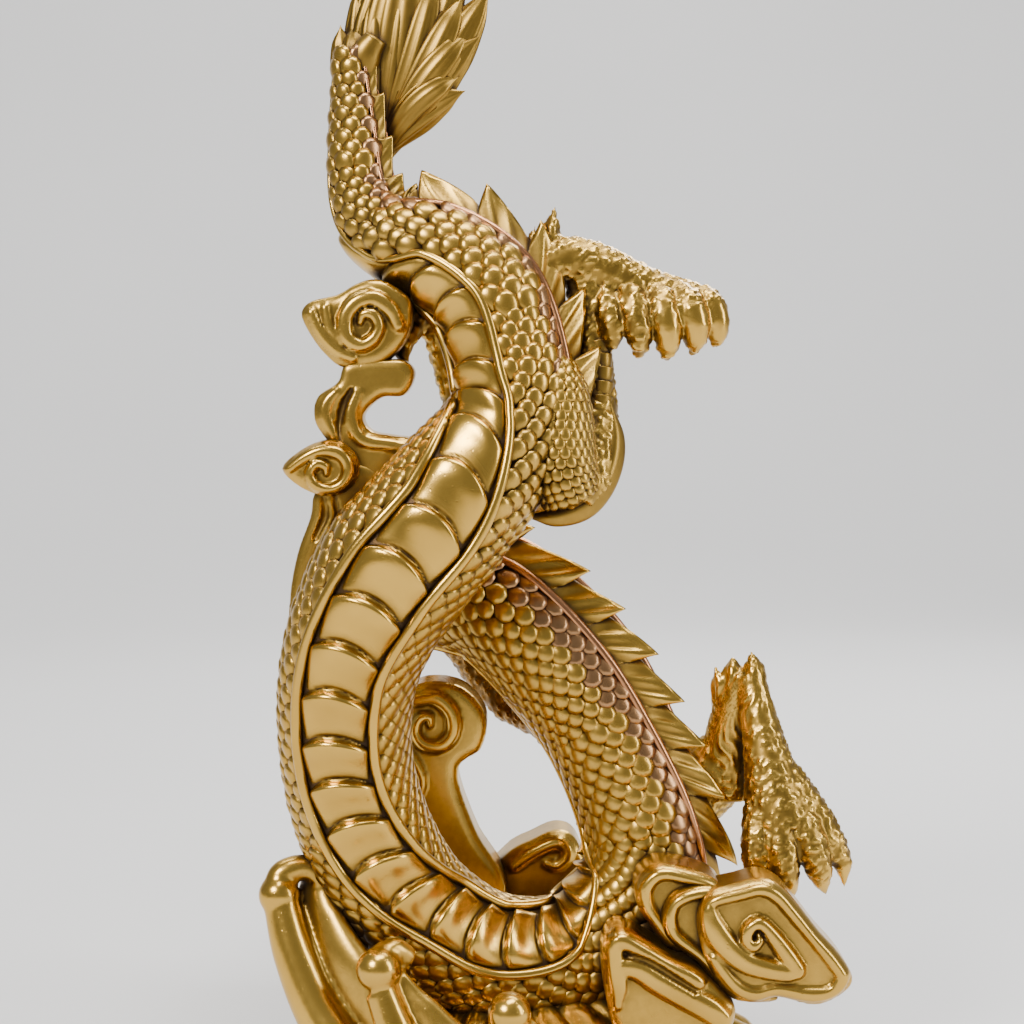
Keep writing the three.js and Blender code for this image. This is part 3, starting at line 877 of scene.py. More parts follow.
nail_reach = 7.5
bare_reach = 12.0
hair_reach = 26.0


def leg(name, shells, nails=(), hair=None, pitch=2.6, wart_height=0.75, bare=()):
    """One leg's skin, with warts, or hair on the stretch near a route, and bare nails."""
    made = fused(name, shells)
    points, normals = vertices_of(made)
    smooth = near(points, nails, nail_reach)
    if bare:
        smooth = np.maximum(smooth, near(points, bare, bare_reach))
    bumps = warts(points, pitch)
    if hair:
        places, route, count = hair
        share = near(points, places, hair_reach)
        bumps = bumps * (1.0 - share) + strands(points, route, count) * share
    rise = bumps * wart_height * (1.0 - smooth)
    marks = 0.12 + 0.78 * bumps * (1.0 - smooth) + 0.85 * smooth
    return reshape(made, points + normals * rise[:, None], marks)


def toes(tables, sides=20, rings=16):
    return [limb(rows, sides=sides, rings=rings, front=(0.0, -1.0, 0.1)) for rows in tables]


near_hind_toes = [
    [
        (24, 0, 322, 5), (26, -8, 316, 5.4), (28, -12, 307, 5), (28.5, -11, 299, 3.6),
        (28, -9, 296, 1)
    ],
    [
        (34, 0, 321, 5.4), (36, -10, 316, 5.8), (38, -14, 306, 5.4), (39, -13, 297, 4),
        (38, -10, 293, 1)
    ],
    [
        (44, 0, 319, 5.6), (47, -10, 315, 6), (49.5, -14, 306, 5.6), (50, -12, 296, 4.2),
        (49, -9, 292, 1)
    ],
    [
        (54, 0, 317, 5.6), (57, -8, 315, 6), (60.5, -12, 308, 5.8), (61, -10, 299, 4.4),
        (60, -7, 294, 1)
    ],
    [
        (60, 2, 317, 5.2), (66, -3, 315, 5.6), (69.5, -6, 309, 5.2), (70, -5, 301, 4),
        (69, -3, 297, 1)
    ],
]
near_hind_nails = [
    (50, -19, 306), (61, -17, 308), (71, -10, 310), (50, -17, 300), (61, -15, 301), (71, -9, 303)
]
near_hind_shin = [
    (12, -25, 238, 9), (20, -16, 250, 11), (22, -9, 276, 8.3), (20, -5, 300, 7.5), (18, -4, 326, 8)
]
near_hind = leg(
    "leg_near_hind",
    [
        limb(
            [
                (2, -20, 296, 8), (7, -25, 276, 12), (7, -27, 254, 14), (12, -25, 240, 10),
                (14, -24, 236, 5)
            ]
        ),
        limb(near_hind_shin),
        limb(
            [
                (-6, -6, 316, 8), (6, -5, 330, 9), (20, -4, 329, 9.5), (34, -3, 323, 9),
                (50, -2, 317, 8)
            ]
        ),
        limb([(62, -1, 315, 7), (48, -2, 318, 8), (34, -3, 322, 9)]),
        limb([(5, -5, 334, 5), (4.5, -5, 343, 3.4), (6, -5, 352, 0.3)], flutes=3, depth=0.12),
        limb([(-3, -4, 332, 4.4), (-3, -5, 338, 2.8), (-2, -5, 344, 0.3)], flutes=3, depth=0.12),
        *toes(near_hind_toes),
    ],
    nails=near_hind_nails,
    bare=[(6, -41, 262), (8, -41, 246), (4, -38, 276)],
)
finish_piece(near_hind, brass("brass_warty", bite=1.15, pitted=0.2))


def limb_seats(stations, pitch_along, pitch_round, start, stop, sink=0.4):
    """Staggered seats for scales over the front of a limb, between two angles."""
    route = Route(stations)
    places, normals, ways, sizes = [], [], [], []
    for row, distance in enumerate(np.arange(1.5, route.length - 1.0, pitch_along)):
        width = float(route.at(np.array([distance]))[4][0, 0])
        count = max(2, round(math.radians(stop - start) * width / pitch_round))
        for column in range(count):
            share = (column + 0.25 + 0.5 * (row % 2)) / count
            spot = np.array([distance])
            angle = np.array([start + (stop - start) * share])
            places.append(route.around(spot, angle, np.array([width - sink]))[0])
            normals.append(route.outwards(spot, angle)[0])
            ways.append(-route.at(spot)[1][0])
            sizes.append(1.0)
    return np.array(places), np.array(normals), np.array(ways), np.array(sizes)


thigh_scales = shingle(
    "thigh_scales",
    *limb_seats(
        [
            (3, -22, 290, 9.5), (7, -26, 276, 12.2), (7, -27.4, 254, 14.2), (10, -26, 243, 12),
            (12, -25, 238, 9)
        ],
        3.3, 4.3, -100, 80,
    ),
    brass_scaled,
    Width=5.3 * MM, Length=7.0 * MM, Thickness=2.3 * MM, Tilt=0.2,
)
finish_piece(thigh_scales, brass_scaled)

leaf = skin(
    "thigh_leaf",
    limb(
        [
            (-4, -25, 231, 1), (6, -26, 231, 4), (17, -24, 236, 6), (25, -20, 247, 6),
            (28.5, -17, 261, 4.6), (27, -15, 277, 0.3)
        ],
        sides=40, rings=44, flat=0.8, flutes=5, depth=0.05,
    ),
)
finish_piece(leaf, brass_smooth)


scute_pitch = 5.6


def scute_band():
    rows = Route(
        [(23, -13.5, 272, 5.2), (24, -11, 285, 5.0), (23.5, -9, 296, 4.4), (22, -8, 305, 3.6)]
    )
    grid, turn = np.meshgrid(
        np.arange(0.0, rows.length, 0.35), np.linspace(0, 2 * math.pi, 20, endpoint=False),
        indexing="ij"
    )
    values = rows.at(grid)[4][..., 0]
    share = (grid / scute_pitch) % 1.0
    step = 0.78 + 0.3 * share**0.6 - 0.25 * (share > 0.94)
    return skin("scute_band", rows.around(grid, np.degrees(turn), values * step))


finish_piece(scute_band(), brass_smooth)

far_hind_shin = [
    (-14, 6, 262, 10), (-24, 14, 264, 9.5), (-33, 17, 280, 7.5), (-39, 16, 298, 6.5),
    (-44, 13, 311, 6.5)
]
far_hind = leg(
    "leg_far_hind",
    [
        limb(far_hind_shin),
        limb([(-42, 13, 312, 7), (-50, 8, 308, 7), (-55, 5, 303, 6), (-56, 3, 298, 3)]),
        *toes(
            [
                [(-50, 4, 310, 4), (-56, 2, 306, 4), (-59, 1, 300, 3), (-59, 1, 295, 0.4)],
                [(-50, 4, 305, 4), (-53, 0, 300, 4), (-54, -1, 294, 3), (-52, 0, 290, 0.4)],
                [(-48, 12, 308, 4), (-55, 16, 303, 4), (-58, 18, 297, 3), (-57, 18, 292, 0.4)],
            ]
        ),
    ],
    pitch=3.6,
    wart_height=1.0,
)
finish_piece(far_hind, brass("brass_far_hind", bite=1.0, pitted=0.2))

near_front_toes = [
    [(91, 7, 118, 6.5), (89, 1, 103, 7), (88, -3, 90, 6), (90, -3, 82, 3.6), (92, -1, 79, 0.6)],
    [
        (95, 6, 116, 7), (97, -2, 102, 7.5), (98, -6, 89, 6.4), (101, -5, 80, 3.8),
        (103, -3, 76, 0.6)
    ],
    [
        (99, 6, 118, 7), (106, -1, 104, 7.5), (111, -4, 92, 6.4), (114, -3, 82, 3.8),
        (116, -1, 76, 0.6)
    ],
    [(100, 8, 124, 6.5), (110, 4, 109, 7.2), (118, 2, 97, 6), (123, 2, 88, 4), (124, 3, 78, 0.6)],
]
near_front_calf = [(80, 28, 110, 10), (79, 26, 134, 9.5), (82, 22, 152, 7.5), (86, 18, 163, 6)]
near_front = leg(
    "leg_near_front",
    [
        limb([(44, 30, 108, 15), (58, 31, 112, 18), (70, 31, 118, 16), (77, 28, 130, 10)]),
        limb(near_front_calf),
        limb([(78, 24, 148, 5.5), (75, 22, 158, 3.6), (72.5, 21, 165, 0.5)], flutes=3, depth=0.12),
        limb([(81, 21, 152, 6), (80, 20, 163, 4), (79.5, 19, 170, 0.5)], flutes=3, depth=0.12),
        limb([(87, 17, 156, 6.2), (88, 16, 165, 4.4), (87, 16, 172, 0.8)], flutes=3, depth=0.1),
        limb(
            [
                (87, 17, 162, 5.5), (89.5, 13, 148, 7), (93, 9, 130, 9.5), (97, 6, 112, 13),
                (100, 4, 102, 14)
            ]
        ),
        *toes(near_front_toes),
    ],
    nails=[(92, -4, 80), (103, -6, 77), (116, -4, 77), (124.5, 0, 81)],
    hair=([(79, 26, 140), (82, 22, 152), (80, 22, 160)], Route(near_front_calf), 26),
)
finish_piece(near_front, brass("brass_near_front", bite=1.15, pitted=0.2))

far_front = leg(
    "leg_far_front",
    [
        limb([(-44, 78, 188, 13), (-30, 84, 170, 13), (-20, 80, 152, 10), (-12, 70, 142, 8)]),
        limb([(-14, 72, 143, 8), (-4, 66, 140, 9), (4, 61, 136, 8)]),
        *toes(
            [
                [(-2, 64, 140, 5), (6, 58, 139, 5.4), (12, 55, 133, 4.6), (13, 55, 126, 0.5)],
                [(-4, 62, 138, 5), (2, 55, 135, 5.4), (6, 51, 129, 4.6), (7, 51, 122, 0.5)],
                [(-4, 68, 140, 5), (4, 68, 138, 5.4), (12, 68, 133, 4.6), (14, 68, 126, 0.5)],
            ]
        ),
    ],
    pitch=3.2,
)
# The far front leg, in the shade inside the loop, is coloured darker: painted shade.
finish_piece(far_front, brass_dark_patina_and_shade)

# ---------------------------------------------------------------------------
# The clouds: thick scrolled plates with pillowed edges, modelled beside the
# trunk and cast with it, with ridges that wind into each scroll's eye.
# ---------------------------------------------------------------------------


def closed_curve(corners, steps=8):
    """A smooth closed outline through x, z corners."""
    knots = np.array(corners, float)
    t = (np.arange(steps) / steps)[:, None]
    stretches = []
    for k in range(len(knots)):
        a, b, c, d = (knots[(k + j) % len(knots)] for j in (-1, 0, 1, 2))
        stretches.append(
            b + 0.5 * t * (c - a + t * (2 * a - 5 * b + 4 * c - d + t * (3 * (b - c) + d - a)))
        )
    return np.concatenate(stretches)


def gap_to(points, path):
    """The gap from x, z points to a drawn path, and the nearest sample of the path."""
    gaps = np.full(len(points), np.inf)
    nearest = np.zeros(len(points), int)
    for k, spot in enumerate(path):
        gap = np.hypot(points[:, 0] - spot[0], points[:, 1] - spot[1])
        closer = gap < gaps
        gaps[closer] = gap[closer]
        nearest[closer] = k
    return gaps, nearest


def stroke_height(points, stroke):
    """How far a stroke of x, z, half width, height raises (or, below 0, sinks) the points."""
    rows = [(x, 0.0, z, width, height) for x, z, width, height in stroke]
    route = Route(rows, front=(0.0, -1.0, 0.0))
    samples = route.rows[:: max(1, len(route.rows) // 160)]
    gaps, nearest = gap_to(points, samples[:, (0, 2)])
    width, height = samples[nearest, 3], samples[nearest, 4]
    return height * np.sqrt(np.clip(1.0 - (gaps / np.maximum(width, 0.1)) ** 2.6, 0.0, 1.0))


def cloud(name, corners, middle, thickness, strokes=(), edge=5.0, voxel=0.8, back=True):
    """A scrolled plate: an outline thick in y, with its edge rounded and strokes on its faces."""
    outline = closed_curve(corners)
    half = thickness / 2
    levels = [middle + side * half for side in (-1, -0.33, 0.33, 1)]
    rings = np.array([[(x, level, z) for x, z in outline] for level in levels])
    made = fused(name, [rings], voxel, 2)
    points, normals = vertices_of(made)
    flat = points[:, (0, 2)]
    inset = np.clip(gap_to(flat, closed_curve(corners, 24))[0] / edge, 0.0, 1.0)
    pillow = 1.0 - edge / half * 0.6 * (1.0 - np.sqrt(1.0 - (1.0 - inset) ** 2))
    offset = (points[:, 1] - middle) * pillow
    raised = np.zeros(len(points))
    sunk = np.zeros(len(points))
    for stroke in strokes:
        height = stroke_height(flat, stroke)
        raised = np.maximum(raised, height)
        sunk = np.minimum(sunk, height)
    facing = np.clip((np.abs(normals[:, 1]) - 0.35) / 0.4, 0.0, 1.0)
    if not back:
        facing = facing * (normals[:, 1] < 0)
    relief = (raised + sunk) * facing * (0.35 + 0.65 * np.clip(inset * 2, 0.0, 1.0))
    points[:, 1] = middle + offset + np.sign(offset) * relief
    tallest = max([height for stroke in strokes for *_, height in stroke], default=1.0)
    marks = 0.4 + 0.5 * raised / max(tallest, 0.1) + 0.3 * sunk - 0.1 * (inset > 0.9)
    return reshape(made, points, marks)


brass_cloud = brass("brass_cloud", bite=0.95, pitted=0.5)
right_cloud = cloud(
    "cloud_right_scroll",
    [(61, 80), (66, 87), (76, 90), (85, 92), (93, 89), (101, 80), (108, 71), (116, 62), (121, 53),
     (118, 47), (107, 42), (92, 45), (83, 43), (74, 46), (65, 57), (61, 70)],
    -29, 24,
    [
        [
            (64, 83, 2.5, 2.2), (76, 86.5, 3, 2.8), (85, 88.5, 3.2, 3), (92, 85.5, 3.4, 3),
            (100, 76.5, 3.4, 3), (108, 67, 3.4, 3), (117, 55.5, 3.6, 3)
        ],
        [
            (117, 54, 3, 2.6), (113, 48, 3, 2.2), (104, 46.5, 3, 2), (92, 48, 3, 1.8),
            (83, 46.5, 3, 1.8), (75, 50, 3, 1.8), (67, 60, 3, 1.8)
        ],
        [
            (64.5, 80, 3.5, 2.5), (66.5, 73, 5, 3.2), (72.5, 65, 5, 3.6), (80, 59.5, 4.6, 3.8),
            (88, 57, 4.2, 4), (95, 56, 4, 4), (99, 56.5, 3.6, 4)
        ],
        [
            (99, 57, 3.6, 4), (95.5, 62, 3.8, 4.2), (90, 69.5, 3.4, 4.2), (84.5, 75, 3, 4.2),
            (80.5, 73, 3, 4.2), (79.6, 68.6, 3, 4), (82.2, 66.2, 2.4, 4), (84.6, 68.4, 1.8, 3.6),
            (84, 70.8, 1.1, 3)
        ],
    ],
)
right_lobe_two = cloud(
    "cloud_right_lobe_two",
    [
        (47, 78), (51, 85), (58, 88), (67, 88), (74, 80), (80, 60), (90, 48), (92, 42), (76, 42.5),
        (67, 51), (60, 58.5), (51, 65), (47, 71)
    ],
    -24, 24,
    [
        [
            (66, 85.5, 2.5, 2), (58, 85, 3, 2.8), (51.5, 81.5, 3.2, 3), (50, 75, 3.2, 3),
            (52, 68.5, 3.2, 3), (60, 61.5, 3.2, 3), (68, 54, 3.4, 3), (76, 45.5, 3.2, 2.6),
            (88, 44, 2, 2)
        ]
    ],
)
right_lobe_one = cloud(
    "cloud_right_lobe_one",
    [
        (37, 87), (40, 92.5), (46, 96), (56, 94.5), (69, 89), (72, 78), (60, 62), (50, 62),
        (43, 71), (38, 79)
    ],
    -20, 26,
    [
        [
            (68, 88, 2, 1.6), (56, 91.5, 3, 2.8), (46.5, 92.5, 3.2, 3), (41, 87, 3.2, 3),
            (41, 80, 3.2, 3), (45, 73, 3.2, 2.8), (51, 66, 3, 2)
        ]
    ],
)
ribbon = cloud(
    "cloud_ribbon",
    [
        (24, 64), (27, 71), (33, 72), (42, 67), (52, 61), (62, 56), (72, 46), (76, 38), (70, 22),
        (58, 8), (36, 8), (30, 26), (26, 42), (24, 54)
    ],
    -28, 22,
    [
        [
            (60, 52, 4.6, 3.2), (51, 57, 5, 3.6), (41, 63, 5, 3.8), (33, 67.5, 4.6, 3.8),
            (28.5, 66, 4.4, 3.8), (28.5, 59, 4.2, 3.6), (30, 50, 4, 3.2), (29.5, 42, 2.4, 2)
        ],
        [
            (31, 57, 4, 3), (38, 56, 4.6, 3.4), (46, 51, 5, 3.6), (56, 45.5, 5.2, 3.6),
            (66, 40, 5.2, 3.6), (71, 36, 4.6, 3)
        ],
        [(33, 63, 1.4, -1.6), (42, 59.5, 1.6, -2), (51, 54, 1.6, -2), (60, 48, 1.4, -1.6)],
    ],
)
upper_scroll = cloud(
    "cloud_upper_scroll",
    [
        (-50, 314), (-58, 321), (-65, 323), (-72, 321), (-79, 317), (-89, 314.5), (-93, 310),
        (-90.5, 303), (-84, 294), (-76, 288.5), (-62, 290), (-52, 300)
    ],
    -9, 22,
    [
        [
            (-55, 305, 2.5, 2), (-58.5, 311.5, 3.2, 2.8), (-65, 315.3, 3.6, 3.2),
            (-71.5, 313.4, 3.6, 3.4), (-75.6, 307.5, 3.4, 3.4), (-75, 300.5, 3.2, 3.4),
            (-70, 297.3, 3, 3.4), (-65, 299.6, 2.8, 3.4), (-62.6, 304.6, 2.5, 3.4),
            (-64.8, 309.2, 2.6, 3.4), (-68.6, 309.2, 2.2, 3), (-69.8, 306.2, 1.3, 2.4)
        ],
        [(-89, 310, 2, 1.6), (-85.5, 302, 2.4, 1.8), (-80, 296, 2.6, 1.8), (-73, 292.5, 2.2, 1.6)],
        [(-83.5, 312, 1.8, 1.2), (-82, 305, 2.2, 1.6), (-78, 298.5, 2, 1.4)],
    ],
)
upper_neck = cloud(
    "cloud_upper_neck",
    [
        (-58, 292), (-75, 290.5), (-79, 283), (-87, 277), (-88, 268), (-83, 260), (-76, 252),
        (-66, 243), (-42, 241), (-39, 250), (-46, 260), (-56, 262), (-66, 264), (-69, 270),
        (-62, 277), (-53, 278), (-49, 286), (-52, 291)
    ],
    -11, 18,
    [
        [
            (-73.5, 280, 1.0, -1.6), (-76.6, 274.5, 1.5, -2.4), (-78.4, 267, 1.3, -2.2),
            (-78, 260, 0.6, -0.8)
        ],
        [(-80.5, 279.5, 2.2, 1.0), (-84, 271, 2.6, 1.4), (-81, 262, 2.2, 1.0)],
        [
            (-71, 279, 2.2, 0.8), (-73.5, 270, 2.6, 1.4), (-70, 261, 2.6, 1.4),
            (-58, 258.5, 2.6, 1.2), (-47, 256, 2.2, 1.0)
        ],
    ],
    edge=4.0,
)
lower_scroll = cloud(
    "cloud_lower_scroll",
    [
        (-100, 250), (-94, 256), (-86, 260), (-77, 260), (-70.5, 253), (-72, 244), (-79, 239),
        (-88, 240), (-96, 244.5)
    ],
    -16, 24,
    [
        [
            (-97.5, 249.5, 2, 1.6), (-91, 254.2, 2.6, 2.4), (-83.5, 257, 2.8, 2.8),
            (-76.6, 255, 2.8, 3), (-74, 249.4, 2.6, 3), (-76.4, 243.8, 2.6, 3),
            (-82, 241.6, 2.4, 3), (-87.2, 243.6, 2.3, 3), (-89, 248, 2.2, 3),
            (-86.4, 251.6, 2.2, 3), (-83, 250.6, 1.8, 2.8), (-82.6, 247.8, 1.1, 2.2)
        ]
    ],
    edge=4.0,
)
strip = cloud(
    "cloud_strip",
    [
        (-62, 246), (-72, 252), (-80, 247), (-88, 240), (-90, 230), (-95, 216), (-98, 200),
        (-98, 184), (-90, 184), (-84, 200), (-76, 214), (-68, 232)
    ],
    -12, 18,
    [
        [(-84.5, 238, 1.2, -1), (-84, 231, 1.6, -1.8), (-88, 222, 1.2, -1.4)],
        [(-80, 238, 1, -1), (-79, 230, 1.4, -1.6), (-81.5, 224, 1.0, -1.2)],
    ],
    edge=4.5,
)
far_scroll = cloud(
    "cloud_far_scroll",
    [
        (-60, 148), (-48, 156), (-32, 154), (-22, 142), (-24, 128), (-34, 118), (-26, 92),
        (-14, 70), (-18, 40), (-60, 36), (-62, 70), (-56, 110), (-64, 132)
    ],
    52, 26,
    [
        [
            (-52, 149, 3, 2.4), (-43, 149.5, 3.4, 3), (-36.6, 143.5, 3.4, 3.2),
            (-36, 135, 3.2, 3.2), (-41, 129.6, 3, 3.2), (-48.4, 130.2, 2.8, 3.2),
            (-51.8, 135.6, 2.6, 3.2), (-50, 141, 2.4, 3.2), (-46, 141.8, 2, 3),
            (-45.2, 138.6, 1.4, 2.6)
        ],
        [(-60, 131, 2, 1.4), (-53, 124, 2.4, 2), (-49, 114, 2.2, 1.6), (-52, 104, 1.6, 1)],
    ],
    voxel=1.0,
)
far_hump = cloud(
    "cloud_far_hump",
    [
        (-26, 60), (-14, 78), (-2, 85), (8, 89), (16, 86), (22, 74), (34, 60), (44, 40), (30, 24),
        (-20, 24)
    ],
    70, 26,
    [
        [
            (-10, 74, 3, 1.6), (0, 81, 3.4, 2.4), (9, 84, 3.4, 2.6), (13, 79, 3, 2.4),
            (9, 74, 2.6, 2.2), (4, 75, 2, 1.8)
        ]
    ],
    voxel=1.1,
)
for piece in (
    right_cloud, right_lobe_two, right_lobe_one, ribbon, upper_scroll, upper_neck, lower_scroll,
    strip, far_scroll, far_hump,
):
    finish_piece(piece, brass_cloud)

# ---------------------------------------------------------------------------
# The plinth: a low mound of surf under the loop, flat below, with three waves
# that roll up at the near left, each ending in a round bead of spray.
# ---------------------------------------------------------------------------


mound_middle_y = 14.0
mound_half_x = 86.0
mound_half_y = 71.0


def mound():
    levels = [
        (0, 0.97), (2.5, 1.03), (7, 1.06), (12, 1.05), (18, 0.98), (24, 0.86), (30, 0.72),
        (35, 0.58), (40, 0.42)
    ]
    angles = np.linspace(0.0, 2 * math.pi, 300, endpoint=False)
    rings = []
    for height, share in levels:
        lobes = 1.0 + 0.035 * np.cos(6 * angles) * (height > 0)
        x = np.cos(angles) * mound_half_x * share * lobes
        y = mound_middle_y + np.sin(angles) * mound_half_y * share * lobes
        rings.append(np.stack([x, y, np.full_like(x, float(height))], axis=1))
    rings = np.array(rings)
    dense = np.linspace(0, len(levels) - 1, 56)
    lower = np.minimum(dense.astype(int), len(levels) - 2)
    rest = (dense - lower)[:, None, None]
    skin_rings = rings[lower] * (1 - rest) + rings[lower + 1] * rest
    made = skin("plinth", skin_rings)
    points, normals = vertices_of(made)
    turn = np.arctan2((points[:, 1] - mound_middle_y) / mound_half_y, points[:, 0] / mound_half_x)
    swirl = np.sin(turn * 14 + points[:, 2] * 0.16 + 1.3 * np.sin(turn * 3))
    side = np.clip(points[:, 2] / 6.0, 0.0, 1.0)
    rise = (np.abs(swirl) ** 0.6 * 2.6 - 2.2) * side
    return reshape(made, points + normals * rise[:, None], 0.75 - 0.3 * np.abs(rise) / 2.6)


finish_piece(mound(), brass("brass_plinth", bite=1.0, pitted=0.6))


def ball(place, radius, squash=1.0, rings=18, sides=28):
    turns = np.linspace(0.02, math.pi - 0.02, rings)
    angles = np.linspace(0.0, 2 * math.pi, sides, endpoint=False)
    grid, angle = np.meshgrid(turns, angles, indexing="ij")
    x = np.sin(grid) * np.cos(angle) * radius
    y = np.sin(grid) * np.sin(angle) * radius
    z = np.cos(grid) * radius * squash
    return np.stack([x, y, z], axis=-1) + np.array(place, float)


def surf():
    panels = [
        limb(
            [
                (-36, -32, 10, 26), (-62, -32, 26, 27), (-80, -27, 50, 22), (-88, -22, 72, 14),
                (-90, -20, 88, 6)
            ],
            sides=48, rings=40, flat=0.4, front=(-0.6, -1, -0.4)
        ),
        limb([(-10, -46, 8, 22), (-36, -48, 22, 20), (-50, -47, 40, 14), (-58, -46, 56, 7)],
             sides=48, rings=36, flat=0.45, front=(-0.5, -1, -0.3)),
        limb([(44, -42, 6, 20), (14, -50, 16, 18), (-2, -53, 28, 12), (-9, -54, 40, 6)],
             sides=48, rings=36, flat=0.45, front=(-0.2, -1, -0.2)),
    ]
    rims = [
        limb(
            [
                (-44, -50, 5, 10), (-66, -46, 16, 11), (-84, -38, 36, 10), (-96, -31, 60, 8.5),
                (-102, -26, 80, 7)
            ],
            sides=28, rings=40
        ),
        limb(
            [(-16, -60, 4, 9), (-36, -60, 14, 9), (-52, -57, 32, 8), (-61, -53, 52, 6.5)],
            sides=28, rings=36
        ),
        limb(
            [(36, -60, 3, 8), (14, -62, 10, 8), (-2, -61, 24, 7), (-11, -59, 40, 6)], sides=28,
            rings=36
        ),
        limb(
            [(-84, -22, 86, 4), (-92, -22, 92, 5), (-101, -24, 90, 5.5), (-104, -25, 84, 5)],
            sides=24, rings=24
        ),
        limb([(-50, -44, 62, 4), (-56, -47, 66, 4.6), (-62, -50, 64, 5)], sides=24, rings=20),
    ]
    beads = [
        ball((-102.5, -25.5, 82), 8.2), ball((-62, -52.5, 60), 8.6), ball((-12, -59.5, 45), 8.4)
    ]
    made = fused("surf", panels + rims + beads, 1.1, 4)
    points, normals = vertices_of(made)
    high = near(points, [(-104, -32, 82), (-63, -60, 60), (-13, -67, 45)], 11.0)
    rim_line = [Route(rows) for rows in (
        [(-50, -56, 10, 0), (-70, -54, 24, 0), (-88, -44, 44, 0), (-98, -36, 66, 0)],
        [(-22, -68, 8, 0), (-40, -67, 22, 0), (-55, -63, 42, 0)],
        [(30, -68, 6, 0), (8, -69, 16, 0), (-6, -67, 32, 0)],
    )]
    for route in rim_line:
        samples = route.rows[::12, :3]
        gaps = np.linalg.norm(points[:, None] - samples[None], axis=2).min(axis=1)
        high = np.maximum(high, np.clip(1.4 - gaps / 9.0, 0.0, 1.0))
    points[:, 2] = np.maximum(points[:, 2], 0.2)
    return reshape(made, points, 0.35 + 0.6 * high)


finish_piece(surf(), brass("brass_surf", bite=0.8, pitted=0.6))

# ---------------------------------------------------------------------------
# The head, behind the loop and turned away: a broad snout with an open jaw,
# branched horns, brow, whiskers and a mane, cast in one with the neck.
# ---------------------------------------------------------------------------

head_turn = Matrix((
    (0.06, -0.998, 0.0),
    (0.995, 0.06, 0.08),
    (-0.08, 0.0, 0.997),
))
head_turn = np.array([unit(np.array(column)) for column in head_turn.transposed()]).T
head_seat = body.at(np.array([body.length]))[0][0] + np.array([6.0, 6.0, 2.0])


def turned(rings):
    return rings @ head_turn.T + head_seat


def both(make):
    return [turned(make(1)), turned(make(-1))]


def head_skull():
    up = (0.0, 0.0, 1.0)
    shells = [
        turned(
            limb(
                [
                    (-14, 0, -2, 19), (4, 0, 2, 21.5), (26, 0, 6, 19.5), (46, 0, 4, 13.5),
                    (64, 0, 2, 12), (77, 0, 3, 8), (80, 0, 3, 3)
                ],
                sides=40, rings=40, flat=0.82, front=up
            )
        ),
        turned(
            limb(
                [
                    (6, 0, -14, 12.5), (28, 0, -19, 11.5), (48, 0, -25, 9), (63, 0, -27, 5),
                    (67, 0, -27, 1)
                ],
                sides=32, rings=30, flat=0.6, front=up
            )
        ),
        turned(
            limb(
                [(16, 0, -11, 8), (42, 0, -16, 6), (60, 0, -14.5, 3), (66, 0, -13, 0.5)], flat=0.5,
                front=up
            )
        ),
        *both(
            lambda s: limb(
                [
                    (20, s * 12, 13, 5), (28, s * 12.5, 18, 6.4), (38, s * 11, 18, 5.4),
                    (45, s * 8, 13.5, 2.5)
                ],
                flutes=4, depth=0.1
            )
        ),
        *both(lambda s: turned_ball(s)),
        *both(lambda s: limb([(67, s * 6, 7, 4.6), (76, s * 7, 9.5, 5.4), (82, s * 5, 6, 2)])),
        *both(
            lambda s: limb(
                [(56, s * 9, -2, 2.6), (55.5, s * 9.3, -9, 2), (55, s * 9.2, -15, 0.3)], sides=12,
                rings=10
            )
        ),
        *both(lambda s: limb([(66, s * 6.5, -2, 1.8), (66, s * 6.6, -9, 0.3)], sides=12, rings=8)),
        *both(
            lambda s: limb([(48, s * 7.5, -21, 1.6), (48, s * 7.6, -14, 0.3)], sides=12, rings=8)
        ),
        *both(lambda s: limb([(60, s * 4.6, -24, 2), (60, s * 4.8, -15, 0.3)], sides=12, rings=8)),
    ]
    made = fused("head", shells, 0.9, 3)
    points, normals = vertices_of(made)
    grain = warts(points, 4.2)
    return reshape(made, points + normals * (grain * 0.55)[:, None], 0.3 + 0.6 * grain)


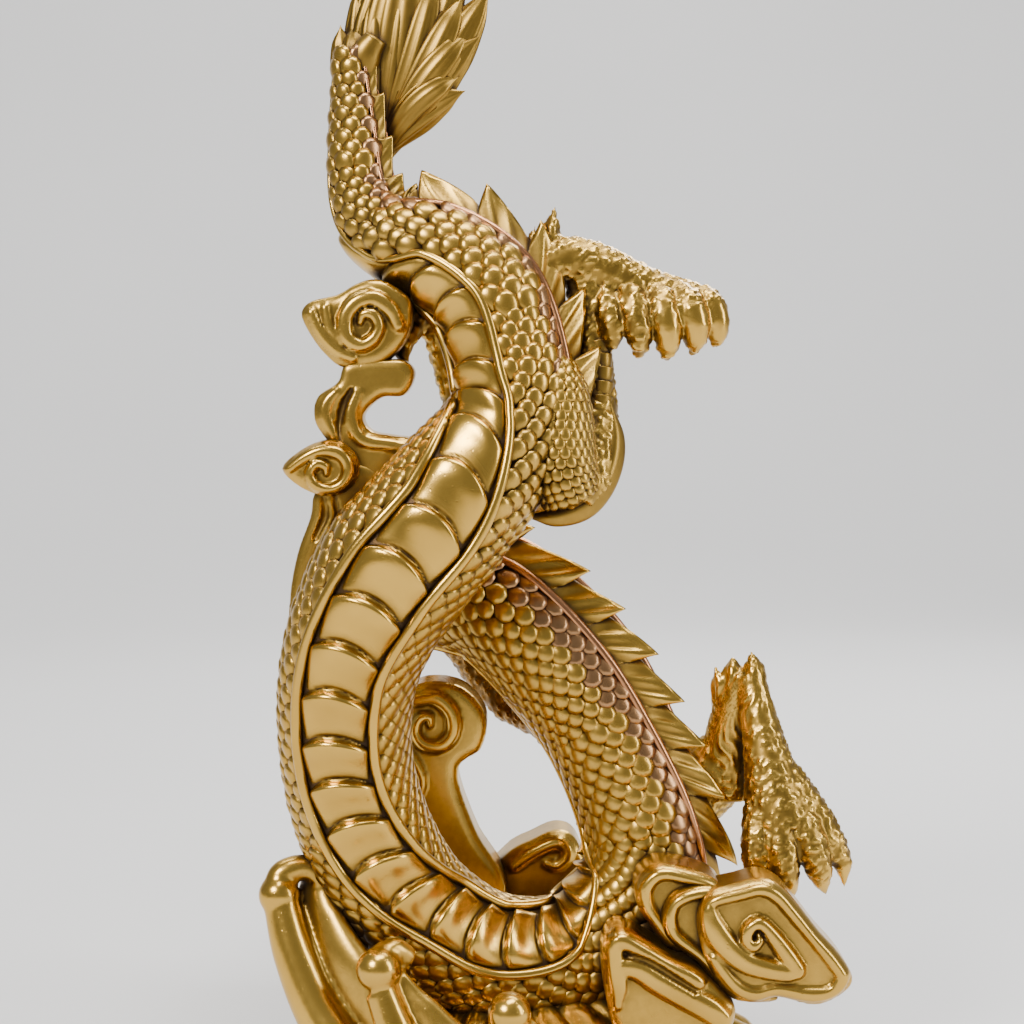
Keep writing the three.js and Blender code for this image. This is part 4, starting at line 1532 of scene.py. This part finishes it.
def turned_ball(side):
    return ball((31, side * 15.5, 12.5), 4.6)


finish_piece(head_skull(), brass("brass_head", bite=1.0, pitted=0.3))


def head_locks():
    shells = [
        *both(
            lambda s: limb(
                [
                    (14, s * 9, 15, 6), (0, s * 13, 28, 5), (-15, s * 18, 33, 4),
                    (-29, s * 20, 30, 0.3)
                ],
                sides=30, rings=40, flutes=5, depth=0.08
            )
        ),
        *both(
            lambda s: limb(
                [(2, s * 13, 27, 4), (2, s * 17, 36, 3), (-3, s * 20, 43, 0.3)], sides=24,
                rings=24, flutes=5, depth=0.08
            )
        ),
        *both(
            lambda s: limb(
                [(12, s * 17, 6, 4.6), (1, s * 27, 10, 5.6), (-9, s * 33, 16, 0.3)], flat=0.5,
                flutes=3, depth=0.12
            )
        ),
        *both(
            lambda s: limb(
                [
                    (70, s * 8, 2, 2.8), (77, s * 19, 2, 2.5), (66, s * 30, 6, 2.2),
                    (48, s * 31, 12, 1.9), (36, s * 27, 14, 0.3)
                ],
                sides=16, rings=48
            )
        ),
    ]
    count = 7
    for k in range(count):
        tilt = math.radians(-75 + k * 150 / (count - 1))
        out, rise = math.cos(tilt), math.sin(tilt)
        reach = 1.0 - 0.12 * (k % 2)
        shells += both(
            lambda s: limb(
                [
                    (12, s * 13 * out, 13 * rise, 7.5),
                    (-8, s * 28 * out * reach, 26 * rise, 8),
                    (-24 * reach, s * 34 * out, 32 * rise + 5, 5),
                    (-35 * reach, s * 36 * out, 33 * rise + 2, 0.3),
                ],
                sides=30, rings=34, flat=0.6, front=(0.0, s * out, rise), flutes=8, depth=0.1,
            )
        )
    for k in range(3):
        shells.append(
            turned(
                limb(
                    [
                        (58 - 14 * k, 0, -30 + 2 * k, 3.6), (50 - 14 * k, 0, -38 + 2 * k, 3.4),
                        (38 - 13 * k, 0, -41 + 4 * k, 0.3)
                    ],
                    sides=20, rings=22, flat=0.6, flutes=4, depth=0.12
                )
            )
        )
    return skin("mane_and_horns", *shells)


finish_piece(head_locks(), brass("brass_mane", bite=0.9))
